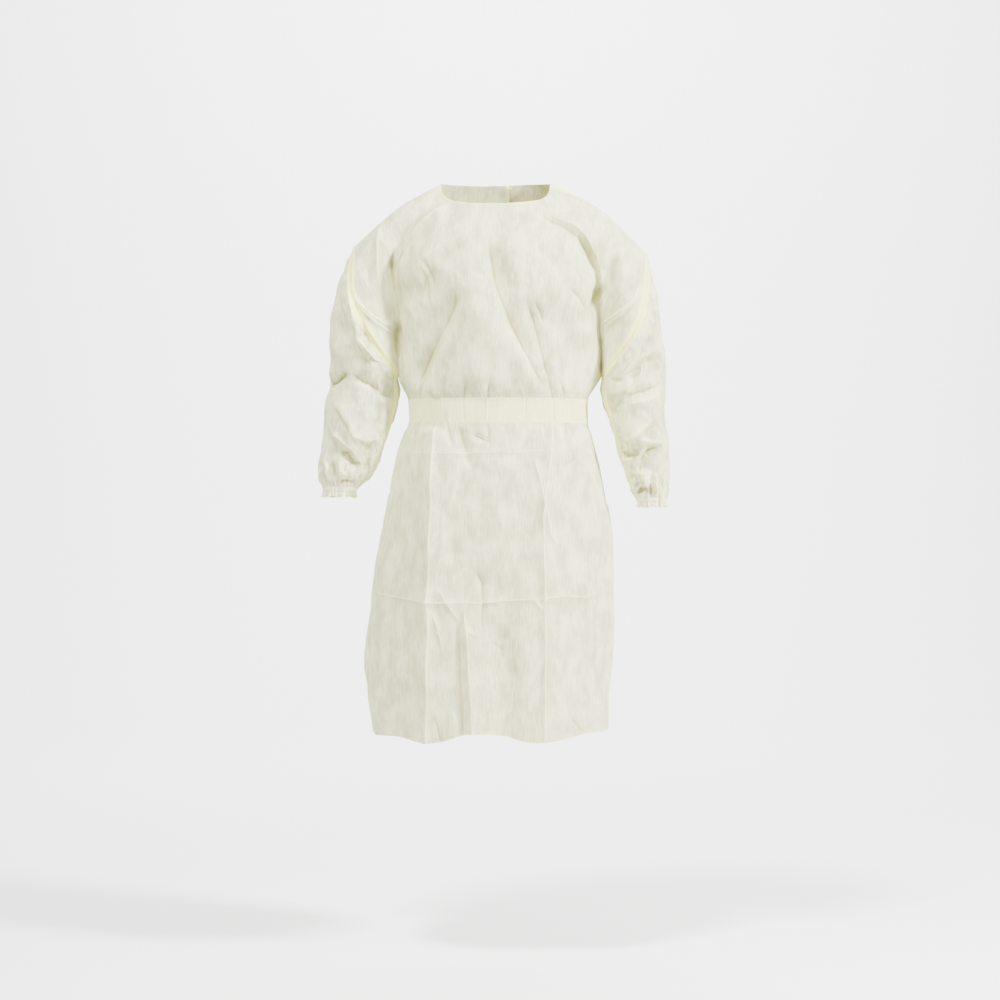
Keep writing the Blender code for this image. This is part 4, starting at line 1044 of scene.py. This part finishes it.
class Finish:
    """A material. Every node of it is made by its one method, node."""

    def __init__(self, name):
        self.material = bpy.data.materials.new(name)
        self.material.use_nodes = True
        self.tree = self.material.node_tree
        self.tree.nodes.clear()

    def node(self, kind, settings, sockets, output=0):
        """Makes a node: its settings first, then its sockets' values or links."""
        made = self.tree.nodes.new(kind)
        for name, value in settings.items():
            setattr(made, name, value)
        for name, value in sockets.items():
            if isinstance(value, Field):
                self.tree.links.new(value.socket, made.inputs[name])
            else:
                made.inputs[name].default_value = value
        return Field(self, made.outputs[output]) if made.outputs else None

    def pattern(self):
        """The place on the flat cut, in metres."""
        return self.node("ShaderNodeUVMap", {"uv_map": "flat"}, {})

    def attribute(self, name):
        """A number stored on the piece's points."""
        return self.node("ShaderNodeAttribute", {"attribute_name": name}, {}, output=2)

    def axis(self, vector, number):
        return self.node("ShaderNodeSeparateXYZ", {}, {"Vector": vector}, output=number)

    def noise(self, vector, across, along, detail):
        """Noise from 0 to 1 with swells this wide and this long, in metres."""
        stretched = self.node(
            "ShaderNodeMapping", {}, {"Vector": vector, "Scale": (1 / across, 1 / along, 1.0)}
        )
        return self.node(
            "ShaderNodeTexNoise",
            {"noise_dimensions": "2D"},
            {"Vector": stretched, "Scale": 1.0, "Detail": detail, "Roughness": 0.6},
        )

    def colour(self, share, before, after):
        """A colour, a link or three numbers, turned into another where the share is 1."""
        ends = [end if isinstance(end, Field) else (*end, 1.0) for end in (before, after)]
        return self.node(
            "ShaderNodeMix",
            {"data_type": "RGBA"},
            {0: share, 6: ends[0], 7: ends[1]},
            output=2,
        )

    def bump(self, height, strength, distance):
        return self.node(
            "ShaderNodeBump", {}, {"Height": height, "Strength": strength, "Distance": distance}
        )

    def done(self, surface):
        self.node("ShaderNodeOutputMaterial", {}, {"Surface": surface})
        return self.material


# Width, length and detail of the clouds, streaks and fibres in the cloth, and of its bond dots
CLOUDS = (0.030, 0.055, 4.0)
STREAKS = (0.0018, 0.034, 3.0)
FIBRES = (0.0007, 0.0022, 2.0)
BOND_DOT = 0.0016


def nonwoven(name, pale, deep, doubled, shadowed, painted_highlight, glow, see_through):
    """Pressed fibres: cloudy, with fine upright streaks, faint bond dots and doubled seams.
    Its valleys and pressed troughs get painted shade, its ridges and pressed ridges a painted
    highlight.
    """
    finish = Finish(name)
    flat = finish.pattern()
    clouds = finish.noise(flat, *CLOUDS)
    streaks = finish.noise(flat, *STREAKS)
    fibres = finish.noise(flat, *FIBRES)
    dots = finish.axis(flat, 0).wave(BOND_DOT) * finish.axis(flat, 1).wave(BOND_DOT)
    seam = finish.attribute("seam")
    edge = finish.attribute("edge")
    allowance = 1.0 - seam.between(SEAM_ALLOWANCE - 0.0012, SEAM_ALLOWANCE)
    turned = 1.0 - edge.between(0.0012, 0.0030)
    thin = 0.40 * clouds + 0.38 * streaks + 0.22 * fibres
    colour = finish.colour(thin.between(0.38, 0.62), pale, deep)
    valley = finish.attribute("valley")
    line = 1.0 - finish.attribute("way").size().between(0.0002, 0.0026)
    press = finish.attribute("press")
    # Painted shade in valleys, a painted highlight on ridges, a painted highlight along pressed
    # ridges, painted shade along pressed troughs, then the doubled cloth of seams and turned edges
    for place, share, tint in (
        (valley.between(0.04, 0.8), 0.55, shadowed),
        ((0.0 - valley).between(0.05, 0.8), 0.5, painted_highlight),
        (line * press.between(0.0, 1.0), 0.9, painted_highlight),
        (line * (0.0 - press).between(0.0, 1.0), 0.7, shadowed),
        (allowance, 0.85, doubled),
        (turned, 0.6, doubled),
    ):
        colour = finish.colour(place * share, colour, tint)
    height = fibres * 0.5 + streaks * 0.6 + clouds * 0.35 - dots.between(0.35, 0.9) * 0.18
    bump = finish.bump(height + allowance * 0.9 + line * press * 3.2, 0.8, 0.0006)
    cloth = finish.node(
        "ShaderNodeBsdfPrincipled",
        {},
        {
            "Base Color": colour,
            "Roughness": 0.82,
            "Specular IOR Level": 0.3,
            "Sheen Weight": 0.3,
            "Sheen Tint": (*glow, 1.0),
            "Normal": bump,
        },
    )
    lit = finish.node("ShaderNodeBsdfTranslucent", {}, {"Color": (*glow, 1.0), "Normal": bump})
    share = (1.0 - allowance * 0.45) * see_through
    return finish.done(finish.node("ShaderNodeMixShader", {}, {0: share, 1: cloth, 2: lit}))


# The tape's loops, the spacing of their rows, and the length of a stitch with its gap
LOOPS = (0.0006, 0.0006, 2.0)
LOOP_ROW = 0.0012
STITCH = 0.0034


def tape(name, colour, thread):
    """Hook and loop tape: a dense pile of tiny loops, with a stitched border."""
    finish = Finish(name)
    flat = finish.pattern()
    edge = finish.attribute("edge")
    loops = finish.noise(flat, *LOOPS)
    lines = finish.axis(flat, 1).wave(LOOP_ROW)
    border = edge.between(0.0020, 0.0023) - edge.between(0.0028, 0.0031)
    dashes = (finish.axis(flat, 0) + finish.axis(flat, 1)).wave(STITCH).between(-0.2, 0.2)
    stitches = border * dashes
    pile = edge.between(0.0032, 0.0036)
    shade = loops.between(0.3, 0.7) * 0.5 + lines.between(-1.0, 1.0) * 0.2
    base = finish.colour(shade * pile, colour, [part * 0.86 for part in colour])
    base = finish.colour(stitches, base, thread)
    height = loops * pile + lines * pile * 0.2 + stitches * 1.5 - border * 0.5
    cloth = finish.node(
        "ShaderNodeBsdfPrincipled",
        {},
        {
            "Base Color": base,
            "Roughness": 0.8,
            "Sheen Weight": 0.2,
            "Normal": finish.bump(height, 0.7, 0.0006),
        },
    )
    return finish.done(cloth)


def paper():
    finish = Finish("pale paper")
    flat = finish.node("ShaderNodeTexCoord", {}, {}, output=3)
    grain = finish.noise(flat, 0.02, 0.02, 2.0)
    colour = finish.colour(grain.between(0.3, 0.7), (0.945, 0.945, 0.945), (0.93, 0.93, 0.93))
    return finish.done(
        finish.node("ShaderNodeBsdfPrincipled", {}, {"Base Color": colour, "Roughness": 0.9})
    )


CLOTH_PIECES = {
    "front_panel": Piece("front", "panel", 3, (0.70, 1.18), 0.72, "hung"),
    "right_back_panel": Piece("back_right", "panel", 3, (0.44, 1.19), 0.42, "hung"),
    "left_back_panel": Piece("back_left", "panel", 3, (0.48, 1.19), 0.42, "hung"),
    "right_sleeve": Piece("sleeve_right", "sleeve", 3, (0.47, 0.53), 0.155, "hung"),
    "left_sleeve": Piece("sleeve_left", "sleeve", 3, (0.44, 0.53), 0.143, "hung"),
    "right_cuff": Piece("cuff_right", "cuff", 4, (0.28, 0.021), None, "gathered"),
    "left_cuff": Piece("cuff_left", "cuff", 4, (0.27, 0.019), None, "gathered"),
}

gown_cloth = nonwoven(
    "pale yellow non-woven",
    pale=(0.87, 0.86, 0.55),
    deep=(0.53, 0.52, 0.30),
    doubled=(0.94, 0.94, 0.30),
    # The next two colours are painted shade for valleys and pressed troughs and a painted highlight
    # for ridges and pressed ridges
    shadowed=(0.47, 0.45, 0.16),
    painted_highlight=(0.98, 0.98, 0.54),
    glow=(0.92, 0.91, 0.60),
    see_through=0.20,
)
cuff_cloth = nonwoven(
    "pale yellow non-woven, gathered",
    pale=(0.92, 0.90, 0.60),
    deep=(0.66, 0.64, 0.38),
    doubled=(0.91, 0.89, 0.56),
    # The next two colours are painted shade for valleys and pressed troughs and a painted highlight
    # for ridges and pressed ridges
    shadowed=(0.50, 0.47, 0.18),
    painted_highlight=(0.97, 0.96, 0.72),
    glow=(0.92, 0.90, 0.42),
    see_through=0.20,
)
belt_cloth = nonwoven(
    "pale yellow non-woven, doubled",
    pale=(0.93, 0.94, 0.48),
    deep=(0.78, 0.79, 0.36),
    doubled=(0.90, 0.91, 0.42),
    # The next two colours are painted shade for valleys and pressed troughs and a painted highlight
    # for ridges and pressed ridges
    shadowed=(0.64, 0.62, 0.34),
    painted_highlight=(0.93, 0.93, 0.74),
    glow=(0.90, 0.88, 0.50),
    see_through=0.14,
)

# The gown's own cloth, laid flat and made finer, all but the last step
sheets = {}
for name, cut in CLOTH_PIECES.items():
    sheet = outer_skin(cut.node, name, inside_body if cut.part == "panel" else inside_arm)
    if cut.part != "panel":
        mark_tube_seam(sheet)
    lay_flat(sheet)
    hold_corners(sheet)
    make_finer(sheet, cut.finer - 1)
    sheets[name] = sheet
measure_edges(sheets)

# Its sleeves buckle, and then all of it is made finer, creased and finished
for name, sheet in sheets.items():
    if CLOTH_PIECES[name].part == "sleeve":
        free = smoothstep(read_attribute(sheet, "seam") / SLEEVE_CALM)
        shift = sum(wrinkle_shift(points_of(sheet), one) for one in FIRST_WRINKLES)
        move_points(sheet, shift * free)
        crumple(sheet)
for name, sheet in sheets.items():
    cut = CLOTH_PIECES[name]
    cuff = RIGHT_CUFF if cut.node.endswith("right") else LEFT_CUFF
    on_body = cut.part == "panel"
    folds = BODY_FOLDS if on_body else SLEEVE_FOLDS
    make_finer(sheet, 1)
    mark_presses(sheet, {} if cut.part == "cuff" else folds)
    crease_cloth(sheet, folds, BODY_WRINKLES if on_body else SLEEVE_WRINKLES)
    mark_valleys(sheet)
    if cut.part == "cuff":
        ruffle(sheet, cuff)
    thicken(sheet, CLOTH, FRONT_INSIDE_KEPT if name == "front_panel" else 1.0)
    if cut.part == "sleeve":
        hide_allowance(sheet, cuff.seam_z + 2 * SEAM_ALLOWANCE)
    place(sheet, "cloth", cuff_cloth if cut.part == "cuff" else gown_cloth, cut.node)

# Belt: a doubled strip with cross creases, pleated where it runs into the knot
belt = cut_strip("belt", "waist_tie", inside_body, 4)
places = points_of(belt)
low = smoothstep((KNOT_MIDDLE[2] - places[:, 2]) / BELT_LOW_HALF)
places[:, 2] -= BELT_WIDER * low * smoothstep(-places[:, 1] / BELT_WIDER_FADE)
set_points(belt, places)
across, _, up = (places - np.array(KNOT_MIDDLE)).T
to_knot = np.where(places[:, 1] > 0.0, np.hypot(across, up), 1.0)
pleats = np.cos(up / BELT_PLEAT + 0.4 * np.sin(to_knot / 0.012))
pleated = BELT_PLEAT_HEIGHT * pleats * smoothstep(1.0 - to_knot / BELT_PLEAT_REACH)
inward = smoothstep((read_attribute(belt, "edge") - BELT_HEM) / 0.0008)
small = wrinkle_shift(places, BELT_WRINKLE)
folded = folds_shift(belt, BELT_FOLDS)
move_points(belt, BELT_PROUD + folded + pleated - BELT_HEM_STEP * inward + small)
mark_valleys(belt)
mark_presses(belt, BELT_FOLDS, full_height=BELT_PRESS_HEIGHT)
thicken(belt, BELT_CLOTH)
place(belt, "belt", belt_cloth, "belt")

# The knot: strands that run in from both sides, under one band that is wrapped across them
knot = copy_of_node("belt_knot", "waist_tie_knot")
make_finer(knot, 3)
x, y, z = (points_of(knot) - np.array(KNOT_MIDDLE)).T
across = (x * np.cos(BAND_TILT) + z * np.sin(BAND_TILT)) / BAND_HALF
on_band = smoothstep((1.0 - np.abs(across)) / BAND_SLOPE)
turn = np.arctan2(z, x)
outward = smoothstep(y / 0.006 + 0.5)
strands = np.cos(STRANDS * turn + 0.9 * np.sin(2.0 * turn)) * (1.0 - on_band)
band = BAND_HEIGHT * on_band + BAND_RIBS * on_band * np.cos(across * 7.5)
groove = -GROOVE_DEPTH * np.exp(-(((np.abs(across) - GROOVE_AT) / GROOVE_WIDTH) ** 2))
move_points(knot, outward * (band + groove + STRAND_HEIGHT * strands) - KNOT_SUNK)
corners = new_pattern(knot.data)
unrolled = np.stack([turn * KNOT_RADIUS, y * 1.5], axis=1)[corners]
knot.data.uv_layers["flat"].uv.foreach_set("vector", unrolled.ravel())
for name in ("seam", "edge"):
    add_attribute(knot, name, np.full(len(x), 1.0))
mark_presses(knot, {})
mark_valleys(knot)
only(knot)
bpy.ops.object.shade_smooth()
place(knot, "belt", belt_cloth, "belt_knot")

# The belt's two ends, pleated at the knot and creased where they were folded in the pack
for side, hand, creased_at in ((-1, "right", RIGHT_END_CREASES), (1, "left", LEFT_END_CREASES)):
    node_name = "belt_end_" + hand
    end = cut_strip(node_name, "waist_tie_end_" + hand, inside_wearer, 4, grain="level")
    places = points_of(end)
    down = (END_TOP - places[:, 2]) / END_LENGTH
    swing = END_SWING * smoothstep(down / 0.3)
    aside = places[:, 0] - (END_MIDDLE_X + side * (END_OUT + END_SPREAD * down + swing))
    pleats = END_PLEAT_HEIGHT * np.cos(aside / END_PLEAT) * smoothstep(1.0 - down / PLEATED_SHARE)
    small = wrinkle_shift(places, END_WRINKLE._replace(seed=END_WRINKLE.seed + side))
    from_creases = [(down - at + 0.06 * aside) / CREASE_SHARE for at in creased_at]
    creased = sum(-END_CREASE_DEPTH * np.exp(-(away**2)) for away in from_creases)
    move_points(end, pleats + small + creased)
    mark_valleys(end)
    mark_presses(end, {})
    thicken(end, BELT_CLOTH)
    place(end, "belt", belt_cloth, node_name)

# Fastening tab at the nape
tab = cut_strip("neck_tab", "nape_tab", inside_wearer, 3)
edge = read_attribute(tab, "edge")
sunk = -TAB_RELIEF * np.exp(-(((edge - TAB_STITCHES) / 0.0006) ** 2))
move_points(tab, TAB_RELIEF * smoothstep(edge / 0.002) + sunk)
thicken(tab, TAB_CLOTH)
place(tab, "tab", tape("hook and loop tape", (0.80, 0.80, 0.72), (0.86, 0.86, 0.80)), "neck_tab")

for name, piece in sheets.items():
    cut = CLOTH_PIECES[name]

# Floor and backdrop, in one bent sheet
bpy.ops.object.select_all(action="DESELECT")
bpy.ops.mesh.primitive_plane_add(size=FLOOR_SIZE, location=(0.0, 0.0, FLOOR_Z))
floor = bpy.context.object
floor.name = "floor"
bpy.ops.object.mode_set(mode="EDIT")
bpy.ops.mesh.select_all(action="DESELECT")
bpy.ops.object.mode_set(mode="OBJECT")
for edge in floor.data.edges:
    edge.select = all(floor.data.vertices[v].co.y > 0.0 for v in edge.vertices)
bpy.ops.object.mode_set(mode="EDIT")
bpy.ops.mesh.extrude_region_move(TRANSFORM_OT_translate={"value": (0.0, 0.0, WALL_HEIGHT)})
bpy.ops.object.mode_set(mode="OBJECT")
add_modifier(floor, "BEVEL", width=FLOOR_BEND, segments=16, limit_method="ANGLE")
bpy.ops.object.shade_smooth()
floor.data.materials.append(paper())


def add_light(name, place, target, size, power):
    """A large soft area light that looks at a target."""
    lamp = bpy.data.lights.new(name, "AREA")
    lamp.shape = "RECTANGLE"
    lamp.size, lamp.size_y = size
    lamp.energy = power
    made = bpy.data.objects.new(name, lamp)
    bpy.context.scene.collection.objects.link(made)
    made.location = place
    made.rotation_euler = (Vector(target) - Vector(place)).to_track_quat("-Z", "Y").to_euler()


add_light("key light", (3.5, -1.9, 1.6), (0.0, 0.0, -0.6), (0.7, 0.7), 880.0)
add_light("fill light", (-2.4, -4.6, 0.0), (0.0, 0.0, -0.6), (2.4, 2.4), 50.0)
add_light("top light", (-0.9, -1.5, 2.4), (0.0, 0.0, -0.6), (0.6, 0.6), 370.0)
add_light("back light", (-1.5, 3.0, 1.2), (0.0, 0.0, -0.5), (2.0, 2.0), 50.0)
add_light("backdrop light", (0.0, 3.6, 3.2), (0.0, 6.5, -0.5), (5.0, 1.0), 900.0)
world = bpy.data.worlds.new("studio")
world.use_nodes = True
world.node_tree.nodes["Background"].inputs["Color"].default_value = (1.0, 1.0, 1.0, 1.0)
world.node_tree.nodes["Background"].inputs["Strength"].default_value = 0.25
bpy.context.scene.world = world

camera = bpy.data.objects.new("camera", bpy.data.cameras.new("camera"))
bpy.context.scene.collection.objects.link(camera)
camera.location = (CAMERA_X, -CAMERA_DISTANCE, CAMERA_Z)
camera.rotation_euler = (np.radians(90.0), 0.0, 0.0)
camera.data.sensor_width = SENSOR
camera.data.lens = SENSOR * CAMERA_DISTANCE / VIEW_WIDTH
bpy.context.scene.camera = camera
